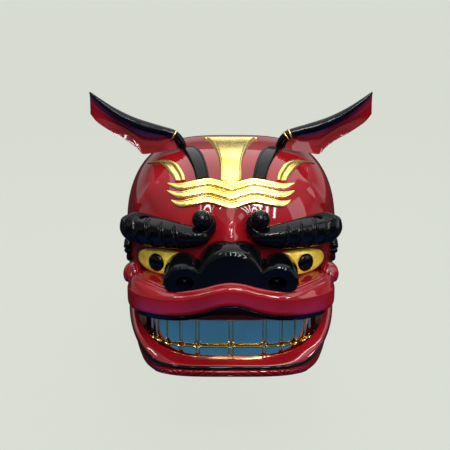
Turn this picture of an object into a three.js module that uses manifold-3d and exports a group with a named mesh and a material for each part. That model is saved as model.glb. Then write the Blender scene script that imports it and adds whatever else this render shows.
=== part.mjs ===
// Lion dance head: a carved and lacquered head with a hinged lower jaw and two ears that swing on pegs.
// Millimetres. The face looks towards -Y, +Z is up, and the jaw's flat underside rests on z = 0.
import * as THREE from 'three';
import { mergeVertices } from 'three/addons/utils/BufferGeometryUtils.js';
import Module from 'manifold-3d';

const wasm = await Module();
wasm.setup();

// Driving dimensions
const GAP = 0.3;
const SLIVER = 0.05;
const WALL = 7;
const REACH = 200;
const SIDES = [['left', -1], ['right', 1]];
const SKULL = {
  centreY: 60, centreZ: 158, halfWidth: 145, depth: 160, rise: 119, fall: 200,
  widthPower: 3.4, depthPower: 2.2, risePower: 2.4,
  columns: 40, rows: 9, hollowColumns: 24, hollowRows: 6, rowSpread: 0.95, lowRows: [70, 95, 125],
};
const SURFACE_SEARCH = { reach: 400, halvings: 40, step: 0.01 };
const STRIP_ROOT = 2.5;
const REAR_RIM_Y = 130;
const HEAD_FOOT_Z = 92;

// Teeth and mouth
const TOOTH_ARCH = { halfWidth: 115, front: -117, power: 3.4, thickness: 12, back: 12 };
const TOOTH_STEPS = { outer: 28, inner: 16 };
const ARCH_STEPS = 20;
const POINT_STEP = 0.01;
const BITE_Z = 40;
const TOOTH_FOOT_Z = 24;
const GUM_Z = 74;
const PALATE = { thickness: 6, back: 20, proud: 1, throat: 16 };
const TOOTH_GAPS_X = [0, 43, 64, 81.5, 95];
const TOOTH_GAPS_Y = [-84, -60, -35, -10];
const TOOTH_NOTCH = 2.2;

// Lower jaw
const JAW = { halfWidth: 135, front: -136, power: 4, back: 62, floor: 6, steps: 22, over: 250, open: 100 };
const JAW_SKIN = [
  { z: 0, side: 20, chin: 11 },
  { z: 5, side: 16, chin: 7 },
  { z: 14, side: 12.5, chin: 4 },
  { z: 42, side: 6, chin: 1 },
  { z: 68, side: 1.5, chin: 0 },
  { z: 92, side: 0, chin: 0 },
];
const JAW_RIM = [
  { y: -145, z: 17 },
  { y: -120, z: 24 },
  { y: -110, z: 33 },
  { y: -91, z: 48 },
  { y: -60, z: 67 },
  { y: -30, z: 81 },
  { y: 0, z: 88 },
  { y: 70, z: 89.5 },
];
const MOUTH = [
  { z: 24, spread: 2 },
  { z: 60, spread: 10 },
  { z: 100, spread: 13 },
];
const HINGE = {
  y: 88, z: 106, pin: 4, clearance: 0.5, pinStart: 119.5, pinEnd: 143.5, holeStart: 110, holeEnd: 160,
  armIn: 121, armOut: 131, armReach: 15, armSides: 16, armFoot: 58, armFront: 32, slope: 15, over: 1,
};

// Upper lip, one row for each section from the middle of the mouth to its corner
const LIP = [
  { x: 0, turn: 0, out: 53, low: 102, crest: 125, top: 131.5 },
  { x: 14, turn: 2, out: 53, low: 100, crest: 123.5, top: 129.5 },
  { x: 30, turn: 5, out: 54, low: 94, crest: 118.5, top: 124.5 },
  { x: 48, turn: 9, out: 54.5, low: 89.5, crest: 114, top: 121 },
  { x: 66, turn: 16, out: 55, low: 88, crest: 112.5, top: 122 },
  { x: 80, turn: 28, out: 50, low: 86.5, crest: 111.5, top: 126 },
  { x: 90, turn: 46, out: 43, low: 85.5, crest: 111, top: 128 },
  { x: 97, turn: 64, out: 32.5, low: 87, crest: 110, top: 127 },
  { x: 104, turn: 78, out: 22, low: 91, crest: 109, top: 121 },
  { x: 110, turn: 85, out: 13, low: 96.5, crest: 107, top: 113.5 },
];
const LIP_BASE_Z = 105;
const LIP_ROOT = 8;
const LIP_SECTION = {
  under: 12, heel: 4, heelRise: 1, front: 0.5, frontRise: 5, brow: 2,
  shoulder: 2.5, slope: 9, slopeShare: 0.65, top: 20, topShare: 0.5, rootShare: 0.3,
};
const LIP_BAND = { drop: 6, back: 14, top: 3.5, foot: 5, middle: 35, middleDrop: 14.4 };

// Nose: half outline of the flat front face, from the middle of its top round to the middle of its foot
const NOSE_FACE = [
  { x: 0, z: 166 },
  { x: 14, z: 163.5 },
  { x: 26, z: 157 },
  { x: 34, z: 148.5 },
  { x: 38, z: 142 },
  { x: 46, z: 146 },
  { x: 57, z: 149 },
  { x: 69, z: 147 },
  { x: 78, z: 140 },
  { x: 82, z: 130 },
  { x: 79, z: 122 },
  { x: 68, z: 116 },
  { x: 0, z: 112 },
];
const NOSE = { front: -139, length: 58, swell: 8, roll: 24 };
const NOSTRIL = { x: 57, z: 130, halfWidth: 11.3, halfHeight: 8, depth: 7 };

// Eyebrow roll, from its outer end to the start of its curl
const BROW = [
  { x: 131, y: -42, z: 180, r: 8 },
  { x: 130, y: -51, z: 180, r: 14 },
  { x: 124, y: -64, z: 180.5, r: 16.5 },
  { x: 109, y: -80, z: 180.5, r: 17.5 },
  { x: 90, y: -92, z: 181, r: 17 },
  { x: 69, y: -100, z: 181, r: 16 },
  { x: 52, y: -105, z: 180, r: 14 },
  { x: 38, y: -108, z: 181, r: 11 },
];
const BROW_SIDES = 10;
const BROW_CURL = {
  x: 35, y: -105, z: 198, path: 13.5, startRadius: 7.5, endRadius: 3,
  start: -75, turn: 200, steps: 6, knob: 12, proud: 2,
};

// Eyes, on the face under the brows
const EYE = { x: 83, z: 143, halfWidth: 35, halfHeight: 15.5, proud: 4, sides: 24, middleY: -90, depth: 80 };
const PUPIL = { x: 91, z: 143, radius: 11.5, proud: 2, sides: 16 };

// Waves on the forehead, as angles round the skull from the face towards the crown
const WAVE = {
  halfLength: 81, thickness: 4.4, pitch: 4.6, lowest: 22.6, ridge: 3.4, ridgeShare: 0.45, edge: 1.2,
  steps: 16, lowestShare: 0.93, taperPower: 5, tip: 0.002, tipRise: 0.8,
};
const WAVE_LINE = [
  { x: 0, rise: -1.2 },
  { x: 14, rise: 0.3 },
  { x: 28, rise: 1.7 },
  { x: 48, rise: 0.5 },
  { x: 66, rise: -0.6 },
  { x: 81, rise: 1.2 },
];
const CROWN_STRIPE = [
  { angle: 36.5, halfWidth: 14.5 },
  { angle: 47, halfWidth: 15 },
  { angle: 58, halfWidth: 19.5 },
  { angle: 66, halfWidth: 23.5 },
  { angle: 73, halfWidth: 27.5 },
  { angle: 82, halfWidth: 33.5 },
  { angle: 88, halfWidth: 38 },
];
const CROWN_BAND = [
  { angle: 38.6, inner: 29, outer: 46 },
  { angle: 44, inner: 31, outer: 49.5 },
  { angle: 50, inner: 34, outer: 54 },
  { angle: 56, inner: 37.5, outer: 58.5 },
  { angle: 61, inner: 42, outer: 63 },
  { angle: 65, inner: 48, outer: 66 },
];
const TEMPLE_LEAF = [
  { lowX: 73, lowAngle: 37.5, highX: 59.5, highAngle: 38.3 },
  { lowX: 76, lowAngle: 39.5, highX: 61.5, highAngle: 40.5 },
  { lowX: 79.5, lowAngle: 42, highX: 65, highAngle: 44 },
  { lowX: 83, lowAngle: 45, highX: 69.5, highAngle: 48 },
  { lowX: 87.5, lowAngle: 48.5, highX: 76.5, highAngle: 51.5 },
  { lowX: 92, lowAngle: 52, highX: 86, highAngle: 54.8 },
  { lowX: 98, lowAngle: 55, highX: 95, highAngle: 57.3 },
  { lowX: 106, lowAngle: 59.5, highX: 104, highAngle: 61.3 },
  { lowX: 113, lowAngle: 65, highX: 112.4, highAngle: 65.8 },
];

// Ears: a bent stem that runs on as the rim, and the blade's upper and lower edge from root to tip
const EAR_PEG = {
  x: 65, y: 16, radius: 5, sink: 5, rise: 9, sides: 12, collar: 2, seat: 3, over: 20, under: -20,
};
const BAND_CLEARANCE = { radius: 7.6, low: -3, high: 30 };
const EAR_STEM = [
  { x: 66.5, y: 15, z: 277, r: 5.6 },
  { x: 71, y: 14, z: 284.5, r: 5.6 },
  { x: 78, y: 14, z: 290, r: 5.8 },
  { x: 90, y: 15, z: 293.5, r: 5.6 },
  { x: 104, y: 17, z: 296.5, r: 6 },
  { x: 119, y: 19, z: 300.5, r: 6.2 },
  { x: 134, y: 21, z: 306, r: 5.8 },
  { x: 149, y: 22, z: 313.8, r: 5 },
  { x: 163, y: 23, z: 322.8, r: 4 },
  { x: 177, y: 24.5, z: 333.5, r: 2.8 },
  { x: 188.5, y: 26, z: 343.5, r: 1.5 },
];
const EAR_BLADE = [
  { topX: 76, topY: 15, topZ: 286, lowX: 69, lowY: 8, lowZ: 272.2, cup: 1 },
  { topX: 90, topY: 16, topZ: 292, lowX: 84, lowY: 10, lowZ: 268, cup: 4 },
  { topX: 104, topY: 18, topZ: 296, lowX: 103, lowY: 20, lowZ: 263.5, cup: 7 },
  { topX: 119, topY: 20, topZ: 301, lowX: 120, lowY: 25, lowZ: 261, cup: 9 },
  { topX: 134, topY: 22, topZ: 307, lowX: 127, lowY: 27, lowZ: 268, cup: 9 },
  { topX: 149, topY: 23, topZ: 314, lowX: 143, lowY: 28, lowZ: 280, cup: 8 },
  { topX: 163, topY: 24, topZ: 323, lowX: 160, lowY: 29, lowZ: 289.5, cup: 6 },
  { topX: 177, topY: 25, topZ: 334, lowX: 180, lowY: 30, lowZ: 303, cup: 4 },
  { topX: 189, topY: 26, topZ: 344, lowX: 189.5, lowY: 30, lowZ: 314.5, cup: 2 },
];
const EAR_SHEET = { rim: 5, edge: 3, across: 4 };
const STEM_SIDES = 7;

// Small carved pieces
const BRIDGE = [
  { x: 0, y: -76, z: 205, r: 9 },
  { x: 0, y: -85, z: 197, r: 14 },
  { x: 0, y: -96, z: 186, r: 17 },
  { x: 0, y: -100, z: 172, r: 20 },
];
const CHEEK = { x: 127, y: -60, z: 118, halfWidth: 14, halfDepth: 17, halfHeight: 16 };
const SIDE_CURL = {
  y: -16, z: 137, x: 137, radius: 12, shrink: 0.35, stretch: 1.25, start: 150, turn: 300, steps: 7,
  roll: 6.5, thin: 0.45, sides: 8, knob: 5, knobProud: 2,
};
const BEARD = { low: 1.5, high: 12, proud: 3, halfLength: 96, back: -90 };
const JAW_EDGE = { proud: 2.5, below: 7, above: 1.5, foot: 1, end: 58 };

// Finishes
const redLacquer = new THREE.MeshStandardMaterial({ color: 0xa01c22, roughness: 0.15, metalness: 0 });
const blackLacquer = new THREE.MeshStandardMaterial({ color: 0x07090c, roughness: 0.12, metalness: 0 });
const goldLeaf = new THREE.MeshStandardMaterial({ color: 0xd9b548, roughness: 0.25, metalness: 1 });
const woodPin = new THREE.MeshStandardMaterial({ color: 0x3a2418, roughness: 0.6, metalness: 0 });

const radians = THREE.MathUtils.degToRad;
const lerp = THREE.MathUtils.lerp;

// A closed mesh with its faces pointing out
function closedMesh(points, triangles) {
  let volume = 0;
  for (const [a, b, c] of triangles) {
    volume += points[a].dot(new THREE.Vector3().crossVectors(points[b], points[c]));
  }
  const index = triangles.flatMap(([a, b, c]) => (volume > 0 ? [a, b, c] : [a, c, b]));
  const geometry = new THREE.BufferGeometry().setFromPoints(points);
  geometry.setIndex(index);
  return geometry;
}

// A solid through a row of rings with equal counts of points, with its end rings filled
function loft(rings) {
  const count = rings[0].length;
  const points = rings.flat();
  const triangles = [];
  for (let row = 0; row < rings.length - 1; row++) {
    for (let column = 0; column < count; column++) {
      const next = (column + 1) % count;
      const a = row * count + column;
      const b = row * count + next;
      triangles.push([a, b, b + count], [a, b + count, a + count]);
    }
  }
  const last = (rings.length - 1) * count;
  const middle = (ring) => ring.reduce((sum, p) => sum.add(p), new THREE.Vector3()).divideScalar(count);
  points.push(middle(rings[0]), middle(rings[rings.length - 1]));
  for (let column = 0; column < count; column++) {
    const next = (column + 1) % count;
    triangles.push([column, points.length - 2, next]);
    triangles.push([last + column, last + next, points.length - 1]);
  }
  return closedMesh(points, triangles);
}

// A solid between two grids of points that lie face to face
function slab(front, back) {
  const rows = front.length;
  const columns = front[0].length;
  const points = [...front.flat(), ...back.flat()];
  const offset = rows * columns;
  const triangles = [];
  const quad = (a, b, c, d) => triangles.push([a, b, c], [a, c, d]);
  for (let r = 0; r < rows - 1; r++) {
    for (let c = 0; c < columns - 1; c++) {
      const a = r * columns + c;
      const b = a + 1;
      quad(a, b, b + columns, a + columns);
      quad(offset + a, offset + a + columns, offset + b + columns, offset + b);
    }
  }
  for (let r = 0; r < rows - 1; r++) {
    const a = r * columns;
    const b = a + columns - 1;
    quad(a, a + columns, offset + a + columns, offset + a);
    quad(b, offset + b, offset + b + columns, b + columns);
  }
  const top = (rows - 1) * columns;
  for (let c = 0; c < columns - 1; c++) {
    quad(c, offset + c, offset + c + 1, c + 1);
    quad(top + c, top + c + 1, offset + top + c + 1, offset + top + c);
  }
  return closedMesh(points, triangles);
}

// A round roll of changing radius along a row of stations
function roll(stations, sides = 12) {
  const at = stations.map(({ x, y, z }) => new THREE.Vector3(x, y, z));
  let across = null;
  const rings = stations.map(({ r }, i) => {
    const after = at[Math.min(i + 1, at.length - 1)];
    const tangent = new THREE.Vector3().subVectors(after, at[Math.max(i - 1, 0)]);
    tangent.normalize();
    across = across || new THREE.Vector3(0, 0, 1);
    across.addScaledVector(tangent, -across.dot(tangent)).normalize();
    const second = new THREE.Vector3().crossVectors(tangent, across);
    return Array.from({ length: sides }, (_, k) => {
      const turn = (2 * Math.PI * k) / sides;
      return at[i].clone()
        .addScaledVector(across, r * Math.cos(turn))
        .addScaledVector(second, r * Math.sin(turn));
    });
  });
  return loft(rings);
}

function solidOf(geometry) {
  const plain = geometry.clone();
  plain.deleteAttribute('normal');
  plain.deleteAttribute('uv');
  const merged = mergeVertices(plain, 1e-4);
  return new wasm.Manifold(new wasm.Mesh({
    numProp: 3,
    vertProperties: new Float32Array(merged.attributes.position.array),
    triVerts: new Uint32Array(merged.index.array),
  }));
}

function geometryOf(solid) {
  const mesh = solid.getMesh();
  const geometry = new THREE.BufferGeometry();
  geometry.setAttribute('position', new THREE.BufferAttribute(mesh.vertProperties, 3));
  geometry.setIndex(new THREE.BufferAttribute(mesh.triVerts, 1));
  return geometry;
}

function box(x0, x1, y0, y1, z0, z1) {
  const geometry = new THREE.BoxGeometry(x1 - x0, y1 - y0, z1 - z0);
  geometry.translate((x0 + x1) / 2, (y0 + y1) / 2, (z0 + z1) / 2);
  return solidOf(geometry);
}

function cylinderX(radius, x0, x1, y, z, sides = 20) {
  const geometry = new THREE.CylinderGeometry(radius, radius, Math.abs(x1 - x0), sides);
  geometry.rotateZ(Math.PI / 2);
  geometry.translate((x0 + x1) / 2, y, z);
  return solidOf(geometry);
}

// An outline in plan, with [x, y] points, between two heights
function planPrism(outline, z0, z1) {
  const shape = new THREE.Shape(outline.map(([x, y]) => new THREE.Vector2(x, y)));
  const geometry = new THREE.ExtrudeGeometry(shape, { depth: z1 - z0, bevelEnabled: false });
  geometry.translate(0, 0, z0);
  return solidOf(geometry);
}

// An outline in side view, with [y, z] points, across the whole width
function sidePrism(outline) {
  const shape = new THREE.Shape(outline.map(([y, z]) => new THREE.Vector2(y, z)));
  const geometry = new THREE.ExtrudeGeometry(shape, { depth: 2 * REACH, bevelEnabled: false });
  geometry.rotateX(Math.PI / 2);
  geometry.rotateZ(Math.PI / 2);
  geometry.translate(-REACH, 0, 0);
  return solidOf(geometry);
}

function ellipsoid({ x, y, z, halfWidth, halfDepth, halfHeight }, grow = 0) {
  const geometry = new THREE.SphereGeometry(1, 12, 8);
  geometry.rotateX(Math.PI / 2);
  geometry.scale(halfWidth + grow, halfDepth + grow, halfHeight + grow);
  geometry.translate(x, y, z);
  return solidOf(geometry);
}

// The largest body of a solid that a cut has left with slivers beside it
function mainBody(solid) {
  return solid.decompose().reduce((best, body) => (body.volume() > best.volume() ? body : best));
}

const signedPower = (value, power) => Math.sign(value) * Math.abs(value) ** power;

// Value of a table's column at a place along another column
function along(table, from, to, value) {
  const after = table.findIndex((row) => row[from] >= value);
  if (after <= 0) {
    return table[after === 0 ? 0 : table.length - 1][to];
  }
  const before = table[after - 1];
  const share = (value - before[from]) / (table[after][from] - before[from]);
  const smooth = share * share * (3 - 2 * share);
  return lerp(before[to], table[after][to], smooth);
}

// Skull: a dome with squared shoulders, whose front is the face
function skullRing(z, left, grow, columns) {
  return Array.from({ length: columns }, (_, column) => {
    const turn = (2 * Math.PI * (column + 0.5)) / columns;
    const halfWidth = (SKULL.halfWidth + grow) * left ** (1 / SKULL.widthPower);
    const depth = (SKULL.depth + grow) * left ** (1 / SKULL.depthPower);
    const x = halfWidth * signedPower(Math.cos(turn), 2 / SKULL.widthPower);
    const y = depth * signedPower(Math.sin(turn), 2 / SKULL.depthPower);
    return new THREE.Vector3(x, SKULL.centreY + y, z);
  });
}

function skullSolid(grow, columns = SKULL.columns, rows = SKULL.rows) {
  const rings = SKULL.lowRows.map((z) => {
    const drop = (SKULL.centreZ - z) / (SKULL.fall + grow);
    return skullRing(z, 1 - drop ** SKULL.risePower, grow, columns);
  });
  for (let row = 0; row < rows; row++) {
    const lift = (Math.PI / 2) * (row / rows) ** SKULL.rowSpread;
    const z = SKULL.centreZ + (SKULL.rise + grow) * Math.sin(lift) ** (2 / SKULL.risePower);
    rings.push(skullRing(z, Math.cos(lift) ** 2, grow, columns));
  }
  return solidOf(loft(rings));
}

const skullHollow = () => skullSolid(-WALL, SKULL.hollowColumns, SKULL.hollowRows);

function outsideSkull(x, y, z) {
  const up = z > SKULL.centreZ ? SKULL.rise : SKULL.fall;
  return (Math.abs(x) / SKULL.halfWidth) ** SKULL.widthPower
    + (Math.abs(y - SKULL.centreY) / SKULL.depth) ** SKULL.depthPower
    + (Math.abs(z - SKULL.centreZ) / up) ** SKULL.risePower - 1;
}

// The point of the skull at x, seen at an angle above the level line forward from its centre
function skullPoint(x, angle, height = 0) {
  const forward = -Math.cos(radians(angle));
  const up = Math.sin(radians(angle));
  let near = 0;
  let far = SURFACE_SEARCH.reach;
  for (let halving = 0; halving < SURFACE_SEARCH.halvings; halving++) {
    const middle = (near + far) / 2;
    const outside = outsideSkull(x, SKULL.centreY + middle * forward, SKULL.centreZ + middle * up) > 0;
    near = outside ? near : middle;
    far = outside ? middle : far;
  }
  const point = new THREE.Vector3(x, SKULL.centreY + near * forward, SKULL.centreZ + near * up);
  const { step } = SURFACE_SEARCH;
  const slope = (dx, dy, dz) => outsideSkull(point.x + dx, point.y + dy, point.z + dz)
    - outsideSkull(point.x - dx, point.y - dy, point.z - dz);
  const normal = new THREE.Vector3(slope(step, 0, 0), slope(0, step, 0), slope(0, 0, step)).normalize();
  return point.addScaledVector(normal, height);
}

function skullFrontY(x, z) {
  const up = z > SKULL.centreZ ? SKULL.rise : SKULL.fall;
  const drop = (Math.abs(z - SKULL.centreZ) / up) ** SKULL.risePower;
  const left = 1 - drop - (Math.abs(x) / SKULL.halfWidth) ** SKULL.widthPower;
  return SKULL.centreY - SKULL.depth * left ** (1 / SKULL.depthPower);
}

// A raised strip on the skull between two edges, with heights given across it
function skullStrip(stations, profile) {
  const sheet = (height) => stations.map(({ lowX, lowAngle, highX, highAngle }) => profile.map((row) => {
    const x = lerp(lowX, highX, row.across);
    const angle = lerp(lowAngle, highAngle, row.across);
    return skullPoint(x, angle, height(row));
  }));
  const strip = slab(sheet((row) => row.height), sheet(() => -STRIP_ROOT));
  return solidOf(strip).subtract(skullSolid(GAP));
}

// Plan outline of an arch that is open behind
function archOutline({ halfWidth, front, power }, back, steps = ARCH_STEPS) {
  const outline = [[halfWidth, back]];
  for (let i = 0; i <= steps; i++) {
    const turn = (Math.PI * i) / steps;
    const x = halfWidth * signedPower(Math.cos(turn), 2 / power);
    const y = front * Math.abs(Math.sin(turn)) ** (2 / power);
    outline.push([x, y]);
  }
  outline.push([-halfWidth, back]);
  const apart = ([x, y], before) => Math.hypot(x - before[0], y - before[1]) > POINT_STEP;
  return outline.filter((point, i) => i === 0 || apart(point, outline[i - 1]));
}

const grown = (arch, by) => ({ ...arch, halfWidth: arch.halfWidth + by, front: arch.front - by });

function palate(grow) {
  const outer = grown(TOOTH_ARCH, PALATE.proud + grow);
  const gum = planPrism(archOutline(outer, PALATE.back), GUM_Z - grow, HEAD_FOOT_Z + PALATE.thickness);
  const throat = planPrism(archOutline(grown(TOOTH_ARCH, -PALATE.throat), REACH), 0, REACH);
  const shelf = skullSolid(-WALL / 2).intersect(
    box(-REACH, REACH, -REACH, PALATE.back, HEAD_FOOT_Z, HEAD_FOOT_Z + PALATE.thickness),
  );
  return shelf.add(gum).subtract(throat);
}

// Bridge of the nose, which rises between the brows
function bridge(grow) {
  return solidOf(roll(BRIDGE.map((row) => ({ ...row, r: row.r + grow }))));
}

function upperHead() {
  const shell = skullSolid(0)
    .intersect(box(-REACH, REACH, -REACH, REAR_RIM_Y, HEAD_FOOT_Z, 2 * REACH))
    .subtract(skullHollow());
  let head = shell.add(bridge(0).subtract(skullSolid(-WALL / 2))).add(palate(0));
  for (const [, side] of SIDES) {
    const { pin, holeStart, holeEnd, y, z } = HINGE;
    head = head.subtract(cylinderX(pin + GAP, side * holeStart, side * holeEnd, y, z));
    head = head.subtract(earSocket(side));
  }
  return head;
}

// Position and direction of the ear's peg on the crown
function earSeat(side) {
  const seat = new THREE.Vector3(side * EAR_PEG.x, EAR_PEG.y, 0);
  const probe = skullTop(seat.x, seat.y, 0);
  return { base: probe, up: skullTop(seat.x, seat.y, 1).sub(probe).normalize() };
}

function skullTop(x, y, height) {
  const left = 1 - (Math.abs(x) / SKULL.halfWidth) ** SKULL.widthPower
    - (Math.abs(y - SKULL.centreY) / SKULL.depth) ** SKULL.depthPower;
  const z = SKULL.centreZ + SKULL.rise * left ** (1 / SKULL.risePower);
  const angle = THREE.MathUtils.radToDeg(Math.atan2(z - SKULL.centreZ, SKULL.centreY - y));
  return skullPoint(x, angle, height);
}

function pegSolid(side, radius, low, high) {
  const { base, up } = earSeat(side);
  const geometry = new THREE.CylinderGeometry(radius, radius, high - low, EAR_PEG.sides);
  geometry.translate(0, (high + low) / 2, 0);
  geometry.applyQuaternion(new THREE.Quaternion().setFromUnitVectors(new THREE.Vector3(0, 1, 0), up));
  geometry.translate(base.x, base.y, base.z);
  return solidOf(geometry);
}

const earSocket = (side) => pegSolid(side, EAR_PEG.radius + GAP, -EAR_PEG.sink, EAR_PEG.over);

// Upper lip: a long roll with a flat front that dips on both sides of the middle
function lipRing({ x, turn, out, low, crest, top }, side, grow) {
  const base = new THREE.Vector3(side * x, skullFrontY(x, LIP_BASE_Z) + LIP_ROOT, 0);
  const direction = new THREE.Vector3(side * Math.sin(radians(turn)), -Math.cos(radians(turn)), 0);
  const reach = out + LIP_ROOT + grow;
  const cut = LIP_SECTION;
  const profile = [
    [0, low - grow],
    [reach - cut.under, low - grow],
    [reach - cut.heel, low + cut.heelRise - grow],
    [reach - cut.front, low + cut.frontRise],
    [reach, (low + crest) / 2],
    [reach, crest - cut.brow],
    [reach - cut.shoulder, crest + cut.brow + grow],
    [reach - cut.slope, lerp(crest, top, cut.slopeShare) + cut.brow + grow],
    [Math.max(reach - cut.top, reach * cut.topShare), top + grow],
    [reach * cut.rootShare, top + grow],
    [0, top + grow],
  ];
  return profile.map(([n, z]) => base.clone().addScaledVector(direction, n).setZ(z));
}

function lipSolid(grow) {
  const right = LIP.map((row) => lipRing(row, 1, grow));
  const left = LIP.slice(1).reverse().map((row) => lipRing(row, -1, grow));
  return solidOf(loft([...left, ...right]));
}

function upperLip() {
  return lipSolid(0).subtract(skullSolid(GAP)).subtract(palate(GAP));
}

// Black line under the lip's front edge
function lipEdge() {
  const band = (side) => LIP.slice(0, -1).map(({ x, turn, out, low }) => {
    const base = new THREE.Vector3(side * x, skullFrontY(x, LIP_BASE_Z), 0);
    const direction = new THREE.Vector3(side * Math.sin(radians(turn)), -Math.cos(radians(turn)), 0);
    const drop = lerp(LIP_BAND.middleDrop, LIP_BAND.drop, Math.min(x / LIP_BAND.middle, 1));
    const corners = [
      [out - LIP_BAND.back, low - GAP],
      [out - LIP_BAND.top, low - GAP],
      [out - LIP_BAND.foot, low - drop],
      [out - LIP_BAND.back, low - drop],
    ];
    return corners.map(([n, z]) => base.clone().addScaledVector(direction, n).setZ(z));
  });
  const strip = solidOf(loft([...band(-1).reverse().slice(0, -1), ...band(1)]));
  return strip.subtract(lipSolid(GAP)).subtract(palate(GAP));
}

// Plan outline of a row of teeth, notched between one tooth and the next
function toothRow(z0, z1) {
  const outer = archOutline(TOOTH_ARCH, TOOTH_ARCH.back, TOOTH_STEPS.outer);
  const backArch = grown(TOOTH_ARCH, -TOOTH_ARCH.thickness);
  const inner = archOutline(backArch, TOOTH_ARCH.back, TOOTH_STEPS.inner).reverse();
  let row = planPrism([...outer, ...inner], z0, z1);
  const notch = (x, y) => {
    const geometry = new THREE.BoxGeometry(2 * TOOTH_NOTCH, 2 * TOOTH_NOTCH, 2 * (z1 - z0));
    geometry.rotateZ(Math.PI / 4);
    geometry.translate(x, y, (z0 + z1) / 2);
    return solidOf(geometry);
  };
  for (const [, side] of SIDES) {
    for (const x of TOOTH_GAPS_X.filter((place) => place > 0 || side > 0)) {
      const share = (1 - (x / TOOTH_ARCH.halfWidth) ** TOOTH_ARCH.power) ** (1 / TOOTH_ARCH.power);
      row = row.subtract(notch(side * x, TOOTH_ARCH.front * share));
    }
    for (const y of TOOTH_GAPS_Y) {
      const share = (1 - (y / TOOTH_ARCH.front) ** TOOTH_ARCH.power) ** (1 / TOOTH_ARCH.power);
      row = row.subtract(notch(side * TOOTH_ARCH.halfWidth * share, y));
    }
  }
  return row;
}

// Nose: two round wings and a tall middle with one flat front, swelling towards the face behind
function noseBlock(grow) {
  const half = NOSE_FACE.map(({ x, z }) => [x, z]);
  const outline = [...half, ...half.slice(1, -1).reverse().map(([x, z]) => [-x, z])];
  const shape = new THREE.Shape(outline.map(([x, z]) => new THREE.Vector2(x, z)));
  const geometry = new THREE.ExtrudeGeometry(shape, {
    depth: NOSE.length - 2 * NOSE.roll,
    bevelThickness: NOSE.roll,
    bevelSize: NOSE.swell,
    bevelOffset: grow,
    bevelSegments: 2,
  });
  geometry.rotateX(Math.PI / 2);
  geometry.translate(0, NOSE.front + NOSE.length - NOSE.roll, 0);
  return solidOf(geometry);
}

function nose() {
  let solid = noseBlock(0).subtract(skullSolid(GAP)).subtract(lipSolid(GAP)).subtract(bridge(GAP));
  for (const [, side] of SIDES) {
    const hole = new THREE.CylinderGeometry(1, 1, 2 * NOSTRIL.depth, 20);
    hole.scale(NOSTRIL.halfWidth, 1, NOSTRIL.halfHeight);
    hole.translate(side * NOSTRIL.x, NOSE.front, NOSTRIL.z);
    solid = solid.subtract(solidOf(hole));
  }
  return mainBody(solid);
}

// Eyebrow: a tapering roll whose inner end curls up round a knob
function browStations(side) {
  const { x, y, z, path, startRadius, endRadius, start, turn, steps } = BROW_CURL;
  const curl = Array.from({ length: steps + 1 }, (_, i) => {
    const angle = radians(start + (turn * i) / steps);
    return {
      x: x - path * Math.cos(angle),
      y,
      z: z + path * Math.sin(angle),
      r: lerp(startRadius, endRadius, i / steps),
    };
  });
  return [...BROW, ...curl].map((row) => ({ ...row, x: side * row.x }));
}

function eyebrow(side) {
  const { x, y, z, knob: radius, proud } = BROW_CURL;
  const knob = { x: side * x, y: y - proud, z, halfWidth: radius, halfDepth: radius, halfHeight: radius };
  return solidOf(roll(browStations(side), BROW_SIDES)).add(ellipsoid(knob))
    .subtract(skullSolid(GAP))
    .subtract(noseBlock(GAP))
    .subtract(bridge(GAP));
}

function eye(side) {
  const shape = new THREE.CylinderGeometry(1, 1, EYE.depth, EYE.sides);
  shape.scale(EYE.halfWidth, 1, EYE.halfHeight);
  shape.translate(side * EYE.x, EYE.middleY, EYE.z);
  return mainBody(skullSolid(EYE.proud).intersect(solidOf(shape))
    .subtract(skullSolid(GAP))
    .subtract(noseBlock(GAP))
    .subtract(lipSolid(GAP)));
}

function pupil(side) {
  const shape = new THREE.CylinderGeometry(PUPIL.radius, PUPIL.radius, EYE.depth, PUPIL.sides);
  shape.translate(side * PUPIL.x, EYE.middleY, PUPIL.z);
  return mainBody(skullSolid(EYE.proud + PUPIL.proud).intersect(solidOf(shape))
    .subtract(skullSolid(EYE.proud + GAP))
    .subtract(noseBlock(GAP))
    .subtract(lipSolid(GAP)));
}

function cheek(side) {
  return ellipsoid({ ...CHEEK, x: side * CHEEK.x })
    .subtract(skullSolid(GAP))
    .subtract(lipSolid(2 * GAP));
}

// Black scroll on the side of the head, behind the eye
function sideCurl(side) {
  const curl = SIDE_CURL;
  const stations = Array.from({ length: curl.steps + 1 }, (_, i) => {
    const share = i / curl.steps;
    const turn = radians(curl.start - curl.turn * share);
    const radius = curl.radius * (1 - curl.shrink * share);
    return {
      x: side * curl.x,
      y: curl.y + radius * Math.cos(turn),
      z: curl.z + curl.stretch * radius * Math.sin(turn),
      r: curl.roll * (1 - curl.thin * share),
    };
  });
  const knob = {
    x: side * curl.x, y: curl.y, z: curl.z,
    halfWidth: curl.knob + curl.knobProud, halfDepth: curl.knob, halfHeight: curl.knob,
  };
  return solidOf(roll(stations, curl.sides)).add(ellipsoid(knob)).subtract(skullSolid(GAP));
}

// Gold waves across the forehead
function wave(level) {
  const centre = WAVE.lowest + level * WAVE.pitch;
  const stations = Array.from({ length: WAVE.steps + 1 }, (_, i) => {
    const place = lerp(-1, 1, i / WAVE.steps);
    const x = place * WAVE.halfLength * (level === 0 ? WAVE.lowestShare : 1);
    const rise = along(WAVE_LINE, 'x', 'rise', Math.abs(x));
    const taper = Math.sqrt(Math.max(1 - Math.abs(place) ** WAVE.taperPower, WAVE.tip));
    const half = (WAVE.thickness / 2) * taper;
    const angle = centre + rise + (WAVE.thickness / 2 - half) * WAVE.tipRise;
    return { lowX: x, lowAngle: angle - half, highX: x, highAngle: angle + half };
  });
  const profile = [
    { across: 0, height: WAVE.edge },
    { across: WAVE.ridgeShare, height: WAVE.ridge },
    { across: 1, height: WAVE.edge },
  ];
  return skullStrip(stations, profile);
}

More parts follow.
